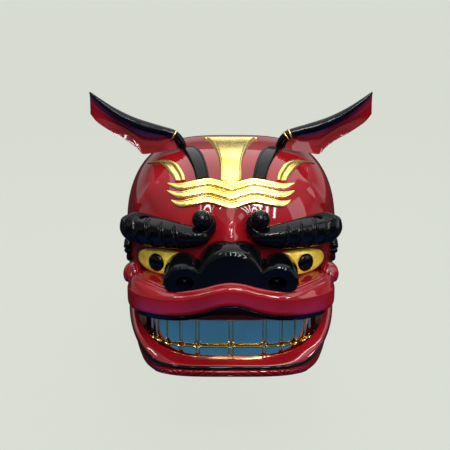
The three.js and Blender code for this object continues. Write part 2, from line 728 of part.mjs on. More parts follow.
function crownStripe() {
  const stations = CROWN_STRIPE.map(({ angle, halfWidth }) => ({
    lowX: -halfWidth, lowAngle: angle, highX: halfWidth, highAngle: angle,
  }));
  const profile = [
    { across: 0, height: 1.8 },
    { across: 0.08, height: 2.6 },
    { across: 0.14, height: 1.2 },
    { across: 0.5, height: 1.2 },
    { across: 0.86, height: 1.2 },
    { across: 0.92, height: 2.6 },
    { across: 1, height: 1.8 },
  ];
  return skullStrip(stations, profile);
}

function crownBand(side) {
  const stations = CROWN_BAND.map(({ angle, inner, outer }) => ({
    lowX: side * inner, lowAngle: angle, highX: side * outer, highAngle: angle,
  }));
  const profile = [
    { across: 0, height: 1.5 },
    { across: 0.12, height: 4 },
    { across: 0.5, height: 4.6 },
    { across: 0.88, height: 4 },
    { across: 1, height: 1.5 },
  ];
  const { radius, low, high } = BAND_CLEARANCE;
  return skullStrip(stations, profile).subtract(pegSolid(side, radius, low, high));
}

function templeLeaf(side) {
  const stations = TEMPLE_LEAF.map((row) => ({ ...row, lowX: side * row.lowX, highX: side * row.highX }));
  const profile = [
    { across: 0, height: 1.2 },
    { across: 0.5, height: 2.8 },
    { across: 1, height: 1.2 },
  ];
  return skullStrip(stations, profile);
}

// Lower jaw: a deep tray whose rim rises towards the hinge
function jawSkin(grow) {
  const rings = JAW_SKIN.map(({ z, side, chin }) => {
    const arch = { ...JAW, halfWidth: JAW.halfWidth - side + grow, front: JAW.front + chin - grow };
    return archOutline(arch, JAW.back, JAW.steps).map(([x, y]) => new THREE.Vector3(x, y, z));
  });
  return solidOf(loft(rings));
}

function aboveRim(lift) {
  const line = JAW_RIM.map(({ y, z }) => [y, z + lift]);
  return sidePrism([...line, [JAW_RIM[JAW_RIM.length - 1].y, JAW.over], [JAW_RIM[0].y, JAW.over]]);
}

function lowerJaw() {
  const rings = MOUTH.map(({ z, spread }) => {
    const outline = archOutline(grown(TOOTH_ARCH, spread), JAW.open);
    return outline.map(([x, y]) => new THREE.Vector3(x, y, z));
  });
  const mouth = solidOf(loft(rings));
  const tray = grown(TOOTH_ARCH, -TOOTH_ARCH.thickness);
  let jaw = jawSkin(0)
    .subtract(aboveRim(0))
    .subtract(mouth)
    .subtract(planPrism(archOutline(tray, JAW.open), JAW.floor, JAW.open));
  for (const [, side] of SIDES) {
    jaw = jaw.add(jawArm(side));
  }
  return jaw;
}

// Arm that carries the jaw on its hinge, inside the wall of the head
function jawArm(side) {
  const { y, z, pin, clearance, armIn, armOut, armReach, armSides, armFoot, armFront, slope, over } = HINGE;
  const near = Math.min(side * armIn, side * armOut);
  const plate = box(near, near + armOut - armIn, armFront, y, armFoot, z + slope);
  const front = sidePrism([
    [armFront - over, z - slope], [armFront + slope, z + slope + over], [armFront - over, z + slope + over],
  ]);
  const heel = sidePrism([[JAW.back - over, 0], [y + over, z - armReach + over], [y + over, 0]]);
  const hole = cylinderX(pin + clearance, side * HINGE.holeStart, side * HINGE.holeEnd, y, z);
  return plate.subtract(front).subtract(heel)
    .add(cylinderX(armReach, side * armIn, side * armOut, y, z, armSides))
    .subtract(hole);
}

function hingePin(side) {
  return cylinderX(HINGE.pin, side * HINGE.pinStart, side * HINGE.pinEnd, HINGE.y, HINGE.z);
}

// Black line round the outside of the jaw, just under its rim
function jawEdge() {
  return jawSkin(JAW_EDGE.proud)
    .subtract(jawSkin(GAP))
    .subtract(aboveRim(-JAW_EDGE.above))
    .intersect(aboveRim(-JAW_EDGE.below))
    .intersect(box(-REACH, REACH, -REACH, JAW_EDGE.end, JAW_EDGE.foot, REACH));
}

// Low carved beard along the foot of the chin
function chinBeard() {
  const { low, high, proud, halfLength, back } = BEARD;
  return jawSkin(proud)
    .subtract(jawSkin(GAP))
    .intersect(box(-halfLength, halfLength, -REACH, back, low, high));
}

// Ear: a cupped blade under a bent stem that turns on a peg
function earBlade(side) {
  const { rim, edge, across } = EAR_SHEET;
  const faces = EAR_BLADE.map((row) => {
    const top = new THREE.Vector3(side * row.topX, row.topY, row.topZ);
    const low = new THREE.Vector3(side * row.lowX, row.lowY, row.lowZ);
    const outward = new THREE.Vector3(0, top.z - low.z, low.y - top.y).normalize();
    const front = [];
    const back = [];
    for (let i = 0; i <= across; i++) {
      const share = i / across;
      const bulge = row.cup * Math.sin(Math.PI * share);
      const point = top.clone().lerp(low, share);
      front.push(point.clone().addScaledVector(outward, bulge));
      back.push(point.clone().addScaledVector(outward, bulge + lerp(rim, edge, share)));
    }
    return { front, back };
  });
  return solidOf(slab(faces.map((face) => face.front), faces.map((face) => face.back)));
}

function ear(side) {
  const stem = solidOf(roll(EAR_STEM.map((row) => ({ ...row, x: side * row.x })), STEM_SIDES));
  const { radius, sink, rise, collar, seat, under } = EAR_PEG;
  return earBlade(side)
    .add(stem)
    .add(pegSolid(side, radius, GAP - sink, rise))
    .subtract(skullSolid(GAP).subtract(pegSolid(side, radius + collar, under, seat)));
}

const group = new THREE.Group();

function place(name, solid, material) {
  const mesh = new THREE.Mesh(geometryOf(mainBody(solid.simplify(SLIVER))), material);
  mesh.name = name;
  group.add(mesh);
}

place('upper_head', upperHead(), redLacquer);
place('upper_lip', upperLip(), redLacquer);
place('lip_edge', lipEdge(), blackLacquer);
place('upper_teeth', toothRow(BITE_Z + GAP, GUM_Z - GAP), goldLeaf);
place('nose', nose(), blackLacquer);
place('wave_lower', wave(0), goldLeaf);
place('wave_middle', wave(1), goldLeaf);
place('wave_upper', wave(2), goldLeaf);
place('crown_stripe', crownStripe(), goldLeaf);
for (const [word, side] of SIDES) {
  place(`eyebrow_${word}`, eyebrow(side), blackLacquer);
  place(`eye_${word}`, eye(side), goldLeaf);
  place(`pupil_${word}`, pupil(side), blackLacquer);
  place(`cheek_${word}`, cheek(side), redLacquer);
  place(`side_curl_${word}`, sideCurl(side), blackLacquer);
  place(`crown_band_${word}`, crownBand(side), blackLacquer);
  place(`temple_leaf_${word}`, templeLeaf(side), goldLeaf);
  place(`hinge_pin_${word}`, hingePin(side), woodPin);
  place(`ear_${word}`, ear(side), blackLacquer);
}
place('lower_jaw', lowerJaw(), redLacquer);
place('lower_teeth', toothRow(TOOTH_FOOT_Z + GAP, BITE_Z - GAP), goldLeaf);
place('jaw_edge', jawEdge(), blackLacquer);
place('chin_beard', chinBeard(), redLacquer);

export default group;
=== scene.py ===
# Lion dance head: carved wood under red and black lacquer, with gold leaf.
import math

import bpy
import numpy as np
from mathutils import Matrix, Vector


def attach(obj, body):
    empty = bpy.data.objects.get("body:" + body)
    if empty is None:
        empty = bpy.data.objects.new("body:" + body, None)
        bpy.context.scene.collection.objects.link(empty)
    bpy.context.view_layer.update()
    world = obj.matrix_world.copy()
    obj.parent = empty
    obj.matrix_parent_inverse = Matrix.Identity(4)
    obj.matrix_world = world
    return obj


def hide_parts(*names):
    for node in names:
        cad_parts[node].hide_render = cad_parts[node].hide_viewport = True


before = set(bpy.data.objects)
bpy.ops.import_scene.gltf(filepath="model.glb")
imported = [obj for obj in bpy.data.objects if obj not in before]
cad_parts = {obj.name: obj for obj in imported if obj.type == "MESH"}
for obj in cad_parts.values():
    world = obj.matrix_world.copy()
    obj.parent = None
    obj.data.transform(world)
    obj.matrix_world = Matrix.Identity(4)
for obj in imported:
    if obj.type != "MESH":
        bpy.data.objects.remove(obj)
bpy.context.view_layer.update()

MM = 0.001
SIDES = (("left", -1), ("right", 1))


# Camera and light
camera = bpy.data.objects.new("camera", bpy.data.cameras.new("camera"))
bpy.context.scene.collection.objects.link(camera)
CAMERA_RISE = math.radians(15)
CAMERA_DISTANCE = 1.3
CAMERA_TARGET_Z = 0.158
SENSOR = 36
PHOTO_PIXELS = 450
FOCAL_PIXELS = 956
AXIS_OFFSET = (-6, 7)  # pixels from the photo's middle to the lens axis
camera.location = (0, -CAMERA_DISTANCE * math.cos(CAMERA_RISE),
                   CAMERA_TARGET_Z + CAMERA_DISTANCE * math.sin(CAMERA_RISE))
camera.rotation_euler = (math.pi / 2 - CAMERA_RISE, 0, 0)
camera.data.sensor_width = SENSOR
camera.data.lens = SENSOR * FOCAL_PIXELS / PHOTO_PIXELS
camera.data.shift_x, camera.data.shift_y = (offset / PHOTO_PIXELS for offset in AXIS_OFFSET)
bpy.context.scene.camera = camera
bpy.context.scene.view_settings.view_transform = "Standard"


def linear(hex_colour):
    """Linear colour from an sRGB hex value."""
    shares = [int(hex_colour[i:i + 2], 16) / 255 for i in (1, 3, 5)]
    return tuple(s / 12.92 if s <= 0.04045 else ((s + 0.055) / 1.055) ** 2.4 for s in shares) + (1,)


def node(tree, kind, links=None, stops=(), out=0, **settings):
    """Adds a node with its settings, colour stops and links, and gives one of its outputs."""
    made = tree.nodes.new(kind)
    for name, value in settings.items():
        setattr(made, name, value)
    for number, (place, colour) in enumerate(stops):
        elements = made.color_ramp.elements
        element = elements[number] if number < len(elements) else elements.new(place)
        element.position = place
        element.color = linear(colour)
    for socket, source in (links or {}).items():
        if isinstance(source, bpy.types.NodeSocket):
            tree.links.new(source, made.inputs[socket])
        else:
            made.inputs[socket].default_value = source
    return made.outputs[out]


def lamp(name, place, aim, size, power):
    data = bpy.data.lights.new(name, "AREA")
    data.shape = "RECTANGLE"
    data.size, data.size_y = size
    data.energy = power
    made = bpy.data.objects.new(name, data)
    made.location = place
    made.rotation_euler = (Vector(aim) - Vector(place)).to_track_quat("-Z", "Y").to_euler()
    made.visible_camera = False
    bpy.context.scene.collection.objects.link(made)
    return made


# Meshes
def plain(name, points, faces):
    """A bare body from points in millimetres, with its faces turned out."""
    mesh = bpy.data.meshes.new(name)
    faces = [list(map(int, face)) for face in turned_out(points, faces)]
    mesh.from_pydata((np.asarray(points) * MM).tolist(), [], faces)
    made = bpy.data.objects.new(name, mesh)
    bpy.context.scene.collection.objects.link(made)
    return made


def piece(name, points, faces, finish, body, nodes=(), slot="red_lacquer", second=None, sharp=35):
    """A mesh from points in millimetres, which rides on a body and may replace CAD nodes."""
    made = plain(name, points, faces)
    mesh = made.data
    mesh.validate()
    mesh.update()
    mesh.shade_smooth()
    mesh.set_sharp_from_angle(angle=math.radians(sharp))
    mesh.materials.append(finish)
    if second:
        mesh.materials.append(second)
    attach(made, body)
    if nodes:
        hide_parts(*nodes)
    return made


def loft(rings, closed=True, caps=True):
    """Points and quads through rings of equal length."""
    rings = np.asarray(rings, float)
    count, width = rings.shape[:2]
    points = rings.reshape(-1, 3)
    faces = []
    span = width if closed else width - 1
    for r in range(count - 1):
        for c in range(span):
            n = (c + 1) % width
            faces.append((r * width + c, r * width + n, (r + 1) * width + n, (r + 1) * width + c))
    if caps:
        first, last = rings[0].mean(axis=0), rings[-1].mean(axis=0)
        points = np.vstack([points, first, last])
        base = (count - 1) * width
        for c in range(span):
            n = (c + 1) % width
            faces.append((n, c, len(points) - 2))
            faces.append((base + c, base + n, len(points) - 1))
    return points, faces


def joined(parts):
    """One set of points and faces from several."""
    points, faces, start = [], [], 0
    for p, f in parts:
        points.append(np.asarray(p))
        faces += [tuple(i + start for i in face) for face in f]
        start += len(p)
    return np.vstack(points), faces


def turned_out(points, faces):
    """Faces turned so that the closed body's volume is positive."""
    corners = np.asarray(points, float)
    fans = np.array([(f[0], f[i], f[i + 1]) for f in faces for i in range(1, len(f) - 1)])
    a, b, c = corners[fans].transpose(1, 0, 2)
    volume = (a * np.cross(b, c)).sum()
    return faces if volume > 0 else [tuple(reversed(f)) for f in faces]


def mirrored(points, side):
    return np.asarray(points) * (side, 1, 1)


def curve(rows, at, knots=None):
    """Smooth curve through the rows of a table, at places along it."""
    rows = np.asarray(rows, float)
    knots = np.arange(len(rows), dtype=float) if knots is None else np.asarray(knots, float)
    at = np.clip(np.asarray(at, float), knots[0], knots[-1])
    slopes = np.gradient(rows, knots, axis=0)
    i = np.clip(np.searchsorted(knots, at, side="right") - 1, 0, len(knots) - 2)
    step = knots[i + 1] - knots[i]
    s = (at - knots[i]) / step
    if rows.ndim > 1:
        step, s = step[..., None], s[..., None]
    return ((2 * s**3 - 3 * s**2 + 1) * rows[i] + (s**3 - 2 * s**2 + s) * step * slopes[i]
            + (3 * s**2 - 2 * s**3) * rows[i + 1] + (s**3 - s**2) * step * slopes[i + 1])


def evenly(rows, count):
    """Places along a table that give evenly spaced points of its first three columns."""
    fine = np.linspace(0, len(rows) - 1, 40 * len(rows))
    path = curve(rows, fine)[:, :3]
    length = np.r_[0, np.cumsum(np.linalg.norm(np.diff(path, axis=0), axis=1))]
    return np.interp(np.linspace(0, length[-1], count), length, fine)


def smooth_step(low, high, value):
    s = np.clip((np.asarray(value, float) - low) / (high - low), 0, 1)
    return s * s * (3 - 2 * s)


def power(value, exponent):
    return np.sign(value) * np.abs(value) ** exponent


def unit(v):
    return v / np.maximum(np.linalg.norm(v, axis=-1, keepdims=True), 1e-12)


# Skull
SKULL_CENTRE = np.array((0, 60, 158.0))
SKULL_HALF = (145, 160, 119, 200)
SKULL_POWER = (3.4, 2.2, 2.4)
WALL = 7
REAR_RIM_Y = 130
HEAD_FOOT_Z = 92


def skull_level(p, grow=0):
    d = np.abs(p - SKULL_CENTRE)
    up = np.where(p[..., 2] > SKULL_CENTRE[2], SKULL_HALF[2], SKULL_HALF[3]) + grow
    return ((d[..., 0] / (SKULL_HALF[0] + grow)) ** SKULL_POWER[0]
            + (d[..., 1] / (SKULL_HALF[1] + grow)) ** SKULL_POWER[1] + (d[..., 2] / up) ** SKULL_POWER[2] - 1)


def skull_normal(p):
    d = p - SKULL_CENTRE
    up = np.where(d[..., 2] > 0, SKULL_HALF[2], SKULL_HALF[3])
    halves = np.stack(np.broadcast_arrays(SKULL_HALF[0], SKULL_HALF[1], up), axis=-1)
    exponents = np.array(SKULL_POWER)
    return unit(exponents * power(d / halves, exponents - 1) / halves)


def skull_hit(start, direction, grow=0):
    near, far = np.zeros(direction.shape[:-1]), np.full(direction.shape[:-1], 400.0)
    for _ in range(40):
        middle = (near + far) / 2
        outside = skull_level(start + middle[..., None] * direction, grow) > 0
        near, far = np.where(outside, near, middle), np.where(outside, middle, far)
    return start + near[..., None] * direction


def on_skull(x, angle, height=0):
    """Points at x, seen at an angle in degrees above the level line forward from the centre."""
    x, angle, height = np.broadcast_arrays(np.asarray(x, float), np.radians(angle), height)
    start = np.stack([x, np.full_like(x, SKULL_CENTRE[1]), np.full_like(x, SKULL_CENTRE[2])], axis=-1)
    direction = np.stack([np.zeros_like(x), -np.cos(angle), np.sin(angle)], axis=-1)
    p = skull_hit(start, direction)
    return p + skull_normal(p) * height[..., None]


def skull_front(x, z, height=0):
    """Points on the face at x and z."""
    x, z, height = np.broadcast_arrays(np.asarray(x, float), np.asarray(z, float), height)
    drop = (np.abs(z - SKULL_CENTRE[2]) / np.where(z > SKULL_CENTRE[2], SKULL_HALF[2], SKULL_HALF[3]))
    left = 1 - drop ** SKULL_POWER[2] - (np.abs(x) / SKULL_HALF[0]) ** SKULL_POWER[0]
    y = SKULL_CENTRE[1] - SKULL_HALF[1] * np.maximum(left, 0) ** (1 / SKULL_POWER[1])
    p = np.stack([x, y, z], axis=-1)
    return p + skull_normal(p) * height[..., None]


NOSE_ROOT = {"rise": 20, "top_z": 226, "low_z": 172}
NOSE_PINCH = {"x": 24, "z": 190, "depth": 3}
TEMPLE_RIDGE = {"x": 100, "z": 235, "lean": 0.75, "rise": 2.2, "width": 4.5}


def skull_relief(p):
    """Low swells of the carving: the root of the nose, the pinch beside it and the ridge over each temple."""
    x, z = p[..., 0], p[..., 2]
    front = smooth_step(0, -60, p[..., 1])
    flare = 10 + 8 * smooth_step(215, 170, z)
    root = smooth_step(NOSE_ROOT["top_z"], NOSE_ROOT["low_z"], z) * np.exp(-(x / flare) ** 2)
    root = NOSE_ROOT["rise"] * root
    pinch = ((np.abs(x) - NOSE_PINCH["x"]) / 8) ** 2 + ((z - NOSE_PINCH["z"]) / 18) ** 2
    pinch = -NOSE_PINCH["depth"] * np.exp(-pinch)
    line = np.abs(x) - TEMPLE_RIDGE["x"] - TEMPLE_RIDGE["lean"] * (TEMPLE_RIDGE["z"] - z)
    near = smooth_step(196, 206, z) * smooth_step(246, 232, z) * smooth_step(20, -30, p[..., 1])
    crest = np.exp(-(line / TEMPLE_RIDGE["width"]) ** 2) - 0.5 * np.exp(-((line + 9) / 5) ** 2)
    return root * front + pinch * front + TEMPLE_RIDGE["rise"] * near * crest


SHELL_COLUMNS, SHELL_ROWS = 240, 120
SHELL_REACH = (0.4, 150)  # degrees from straight forward, past the rear rim


def head_shell():
    around = np.linspace(0, 2 * math.pi, SHELL_COLUMNS, endpoint=False)
    out = np.radians(np.linspace(*SHELL_REACH, SHELL_ROWS))[:, None]
    direction = np.stack([np.sin(out) * np.cos(around), -np.cos(out) * np.ones_like(around),
                          np.sin(out) * np.sin(around)], axis=-1)
    outer = skull_hit(SKULL_CENTRE, direction)
    outer = outer + skull_normal(outer) * skull_relief(outer)[..., None]
    inner = skull_hit(SKULL_CENTRE, direction, -WALL)
    points, faces = joined([loft(outer[::-1], caps=False), loft(inner, caps=False)])
    count = SHELL_ROWS * SHELL_COLUMNS
    rear_in, pole_out, pole_in = count * 2 - SHELL_COLUMNS, count - SHELL_COLUMNS, count
    for c in range(SHELL_COLUMNS):
        n = (c + 1) % SHELL_COLUMNS
        faces.append((n, c, rear_in + c, rear_in + n))
    faces.append(tuple(pole_out + c for c in range(SHELL_COLUMNS)))
    faces.append(tuple(pole_in + c for c in reversed(range(SHELL_COLUMNS))))
    return points, faces


def cut(target, cutter, operation, sharp):
    """Applies a boolean and drops the cutter."""
    modifier = target.modifiers.new("cut", "BOOLEAN")
    modifier.operation, modifier.object, modifier.solver = operation, cutter, "EXACT"
    whole = target.data
    target.data = bpy.data.meshes.new_from_object(target.evaluated_get(bpy.context.evaluated_depsgraph_get()))
    target.modifiers.clear()
    bpy.data.meshes.remove(whole)
    bpy.data.objects.remove(cutter)
    target.data.shade_smooth()
    target.data.set_sharp_from_angle(angle=math.radians(sharp))


def block(low, high):
    (x0, y0, z0), (x1, y1, z1) = low, high
    ring = [(x0, y0), (x1, y0), (x1, y1), (x0, y1)]
    return loft([[(x, y, z) for x, y in ring] for z in (z0, z1)])


# Finishes
def finish(name, base, roughness, metallic=0.0):
    """A material, its tree, its shader and the object's own coordinates in metres."""
    material = bpy.data.materials.new(name)
    material.use_nodes = True
    tree = material.node_tree
    shader = tree.nodes["Principled BSDF"]
    shader.inputs["Base Color"].default_value = linear(base)
    shader.inputs["Roughness"].default_value = roughness
    shader.inputs["Metallic"].default_value = metallic
    where = node(tree, "ShaderNodeTexCoord", out="Object")
    return material, tree, shader, where


def per_metre(size_mm):
    """Scale of a pattern whose lumps are about this size."""
    return 1000 / size_mm


def ripples(tree, shader, layers):
    """Bumps on one another: each layer is its height, its strength and its depth in mm."""
    normal = None
    for height, strength, depth_mm in layers:
        links = {"Height": height, "Strength": strength, "Distance": depth_mm * MM}
        if normal:
            links["Normal"] = normal
        normal = node(tree, "ShaderNodeBump", links)
    tree.links.new(normal, shader.inputs["Normal"])


NOISE, RAMP, MIX, MAPPING = "ShaderNodeTexNoise", "ShaderNodeValToRGB", "ShaderNodeMix", "ShaderNodeMapping"
COLOURS = {"data_type": "RGBA", "out": 2}
PRODUCT = {"data_type": "RGBA", "blend_type": "MULTIPLY", "out": 2}


def lacquer(name, tones, rubbed, ior, level, dull):
    """Urushi brushed over carved wood in many coats and polished. It gives a wet gloss with a faint
    orange-peel ripple 4 mm across, dimmer where hands have been, and thinner colour along the edges."""
    material, tree, shader, where = finish(name, tones[1], 0.1)
    shader.inputs["IOR"].default_value = ior
    shader.inputs["Specular IOR Level"].default_value = level
    cloud = node(tree, NOISE, {"Vector": where, "Scale": per_metre(90), "Detail": 3})
    colour = node(tree, RAMP, {"Fac": cloud}, tuple(zip((0.36, 0.52, 0.68), tones)))
    bend = node(tree, "ShaderNodeNewGeometry", out="Pointiness")
    edge = node(tree, RAMP, {"Fac": bend}, ((0.53, "#000000"), (0.64, "#FFFFFF")))
    patch = node(tree, NOISE, {"Vector": where, "Scale": per_metre(7), "Detail": 4})
    worn = node(tree, MIX, {0: 1.0, 6: edge, 7: patch}, **PRODUCT)
    colour = node(tree, MIX, {0: worn, 6: colour, 7: linear(rubbed)}, **COLOURS)
    tree.links.new(colour, shader.inputs["Base Color"])
    touched = node(tree, NOISE, {"Vector": where, "Scale": per_metre(34), "Detail": 4, "Roughness": 0.6})
    touched = node(tree, RAMP, {"Fac": touched}, ((0.4, dull[0]), (0.8, dull[1])))
    tree.links.new(touched, shader.inputs["Roughness"])
    swell = node(tree, NOISE, {"Vector": where, "Scale": per_metre(28), "Detail": 1})
    peel = node(tree, NOISE, {"Vector": where, "Scale": per_metre(4), "Detail": 1})
    # hairlines from polishing are 0.05 mm wide and drawn 0.8 mm wide
    strokes = node(tree, MAPPING, {"Vector": where, "Scale": (1, 6, 0.4)})
    hairline = node(tree, NOISE, {"Vector": strokes, "Scale": per_metre(5)})
    ripples(tree, shader, [(swell, 0.05, 1.2), (peel, 0.03, 0.25), (hairline, 0.02, 0.1)])
    return material


def leaf_over_bole(name, shade, light, bole, dull, ripple):
    """Gold leaf laid in squares of 36 mm over red bole and burnished. It gives a mirror that is broken by
    fine wrinkles, overlaps along the squares and a little of the bole rubbed bare on the edges."""
    material, tree, shader, where = finish(name, light, dull, metallic=1.0)
    wrinkle = node(tree, NOISE, {"Vector": where, "Scale": per_metre(5), "Detail": 5, "Roughness": 0.6})
    tone = node(tree, NOISE, {"Vector": where, "Scale": per_metre(22), "Detail": 3})
    tone = node(tree, RAMP, {"Fac": tone}, ((0.3, shade), (0.7, light)))
    upright = node(tree, MAPPING, {"Vector": where, "Rotation": (math.pi / 2, 0, 0.3)})
    seam = node(tree, "ShaderNodeTexBrick", {
        "Vector": upright, "Scale": per_metre(36), "Mortar Size": 0.012, "Mortar Smooth": 0.6,
        "Brick Width": 1.0, "Row Height": 1.0}, out="Fac")
    overlap = node(tree, RAMP, {"Fac": seam}, ((0.0, "#000000"), (1.0, "#303030")))
    tone = node(tree, MIX, {0: overlap, 6: tone, 7: linear(shade)}, **COLOURS)
    bend = node(tree, "ShaderNodeNewGeometry", out="Pointiness")
    edge = node(tree, RAMP, {"Fac": bend}, ((0.62, "#000000"), (0.8, "#FFFFFF")))
    patch = node(tree, NOISE, {"Vector": where, "Scale": per_metre(3), "Detail": 4})
    patch = node(tree, RAMP, {"Fac": patch}, ((0.45, "#000000"), (0.65, "#4A4A4A")))
    bare = node(tree, MIX, {0: 1.0, 6: edge, 7: patch}, **PRODUCT)
    tone = node(tree, MIX, {0: bare, 6: tone, 7: linear(bole)}, **COLOURS)
    tree.links.new(tone, shader.inputs["Base Color"])
    crinkle = node(tree, RAMP, {"Fac": wrinkle}, ((0.3, "#000000"), (0.7, "#FFFFFF")))
    bright, dim = (dull * 0.8,) * 3 + (1,), (dull * 1.3,) * 3 + (1,)
    tree.links.new(node(tree, MIX, {0: crinkle, 6: bright, 7: dim}, **COLOURS), shader.inputs["Roughness"])
    swell = node(tree, NOISE, {"Vector": where, "Scale": per_metre(14)})
    ripples(tree, shader, [(swell, ripple, 0.6), (wrinkle, ripple, 0.2), (seam, 0.08, 0.05)])
    return material


def gold_powder():
    """Gold powder sprinkled on wet lacquer for the eyes. It is a satin surface that takes light from all
    round; the grains are 0.05 mm and drawn 0.7 mm across."""
    material, tree, shader, where = finish("gold_powder", "#F2CC38", 0.36, metallic=0.4)
    grain = node(tree, NOISE, {"Vector": where, "Scale": per_metre(0.7)})
    tone = node(tree, NOISE, {"Vector": where, "Scale": per_metre(9), "Detail": 4})
    tone = node(tree, RAMP, {"Fac": tone}, ((0.3, "#F0B92E"), (0.7, "#FFE45A")))
    tree.links.new(tone, shader.inputs["Base Color"])
    satin = node(tree, RAMP, {"Fac": grain}, ((0.3, "#8E8E8E"), (0.7, "#A8A8A8")))
    tree.links.new(satin, shader.inputs["Roughness"])
    swell = node(tree, NOISE, {"Vector": where, "Scale": per_metre(12)})
    ripples(tree, shader, [(swell, 0.04, 0.5), (grain, 0.08, 0.05)])
    return material


def brushed_ground():
    """Plain dark ground lacquer inside the head, brushed on once and never polished."""
    material, tree, shader, where = finish("brushed_ground", "#1C100C", 0.5)
    strokes = node(tree, MAPPING, {"Vector": where, "Scale": (1, 0.12, 1)})
    streak = node(tree, NOISE, {"Vector": strokes, "Scale": per_metre(3), "Detail": 4, "Roughness": 0.6})
    tone = node(tree, RAMP, {"Fac": streak}, ((0.3, "#120A08"), (0.7, "#2A1A13")))
    tree.links.new(tone, shader.inputs["Base Color"])
    sheen = node(tree, NOISE, {"Vector": where, "Scale": per_metre(30), "Detail": 3})
    sheen = node(tree, RAMP, {"Fac": sheen}, ((0.3, "#8E8E8E"), (0.7, "#C4C4C4")))
    tree.links.new(sheen, shader.inputs["Roughness"])
    swell = node(tree, NOISE, {"Vector": where, "Scale": per_metre(20)})
    ripples(tree, shader, [(streak, 0.3, 0.3), (swell, 0.1, 0.8)])
    return material


def bare_wood():
    """Turned hardwood pins, oiled and dark, with grain along the pin."""
    material, tree, shader, where = finish("bare_wood", "#4A2F1E", 0.55)
    along = node(tree, MAPPING, {"Vector": where, "Scale": (0.15, 1, 1)})
    grain = node(tree, NOISE, {"Vector": along, "Scale": per_metre(1.2), "Detail": 4, "Roughness": 0.6})
    tone = node(tree, RAMP, {"Fac": grain}, ((0.3, "#33200F"), (0.7, "#6A4A2E")))
    tree.links.new(tone, shader.inputs["Base Color"])
    oiled = node(tree, RAMP, {"Fac": grain}, ((0.3, "#B0B0B0"), (0.7, "#8A8A8A")))
    tree.links.new(oiled, shader.inputs["Roughness"])
    ripples(tree, shader, [(grain, 0.3, 0.15)])
    return material


RED_COATS, RED_GLOSS = ("#6C0A10", "#7E0D15", "#8C131B"), ("#343434", "#585858")
BLACK_COATS, BLACK_GLOSS = ("#030405", "#050608", "#08080B"), ("#1C1C1C", "#3C3C3C")
RED = lacquer("red_urushi", RED_COATS, "#A83A26", 1.5, 0.5, RED_GLOSS)
BLACK = lacquer("black_urushi", BLACK_COATS, "#2A1410", 1.34, 0.32, BLACK_GLOSS)
GOLD = leaf_over_bole("gold_leaf", "#EDC65E", "#FBE596", "#6A2E14", 0.24, 0.03)
TOOTH_GOLD = leaf_over_bole("tooth_gold", "#EDD28C", "#F3DC9C", "#8A5A1C", 0.12, 0.015)
EYE_GOLD, WOOD, GROUND = gold_powder(), bare_wood(), brushed_ground()

shell = piece("head_shell", *head_shell(), RED, "head", ["upper_head"], second=GROUND)
cut(shell, plain("trim", *block((-220, -220, HEAD_FOOT_Z), (220, REAR_RIM_Y, 420))), "INTERSECT", sharp=35)
centres = np.array([p.center[:] for p in shell.data.polygons]) / MM
for polygon, hidden in zip(shell.data.polygons, skull_level(centres, -WALL / 2) < 0):
    polygon.material_index = int(hidden)

# Mouth arches
TOOTH_ARCH = (115, -117, 3.4)
JAW_ARCH = (135, -136, 4)
GUM_Z = 74
BITE_Z = 40
TOOTH_FOOT_Z = 24


def arch(shape, turn, grow=0.0):
    """Plan point of an arch at a turn from 0, its right end, to pi, its left end."""
    half, front, exponent = shape
    turn = np.asarray(turn, float)
    x = (half + grow) * power(np.cos(turn), 2 / exponent)
    y = (front - grow) * np.abs(np.sin(turn)) ** (2 / exponent)
    return x, y


def arch_path(shape, grow, back, count=120):
    """Evenly spaced plan points from the right end round the front to the left end."""
    turn = np.linspace(0, math.pi, 2000)
    x, y = arch(shape, turn, grow)
    x, y = np.r_[x[0], x, x[-1]], np.r_[back, y, back]
    length = np.r_[0, np.cumsum(np.hypot(np.diff(x), np.diff(y)))]
    at = np.linspace(0, length[-1], count)
    return np.stack([np.interp(at, length, x), np.interp(at, length, y)], axis=-1)


def arch_band(section, shape, back, count=160):
    """A body swept round an arch; the section gives how far out and how high each point lies."""
    rings = []
    paths = [arch_path(shape, out, back, count) for out, _ in section]
    for i in range(count):
        rings.append([(*paths[k][i], z) for k, (_, z) in enumerate(section)])
    return loft(rings)


ARCH_END_Y = 20
SHELF = {"grow": -8, "outer": (138, -88, 3.0), "low": 0.2, "high": 6}
gum = [(1, GUM_Z + 1.5), (0, GUM_Z), (-14, GUM_Z), (-15, GUM_Z + 2), (-15, HEAD_FOOT_Z + SHELF["high"]),
       (1, HEAD_FOOT_Z + SHELF["high"])]
piece("upper_gum", *arch_band(gum, TOOTH_ARCH, ARCH_END_Y), RED, "head")


def palate_shelf():
    inner = arch_path(TOOTH_ARCH, SHELF["grow"], ARCH_END_Y, 160)
    outer = arch_path(SHELF["outer"], 0, ARCH_END_Y, 160)
    low, high = HEAD_FOOT_Z + SHELF["low"], HEAD_FOOT_Z + SHELF["high"]
    return loft([[(*o, low), (*o, high), (*i, high), (*i, low)] for o, i in zip(outer, inner)])


piece("palate_shelf", *palate_shelf(), RED, "head")

TOOTH_GAPS_X = (0, 43, 64, 81.5, 95)
TOOTH_GAPS_Y = (-84, -60, -35, -10)


def arch_length_table(shape):
    turn = np.linspace(0, math.pi, 4000)
    x, y = arch(shape, turn)
    x, y = np.r_[x[0], x, x[-1]], np.r_[12, y, 12]
    length = np.r_[0, np.cumsum(np.hypot(np.diff(x), np.diff(y)))]
    return x, y, length


TOOTH = {"groove": 1.1, "roll": 2.5, "deep": 11.5, "bite_corner": 4.6, "root_corner": 1.6, "rows": 18}


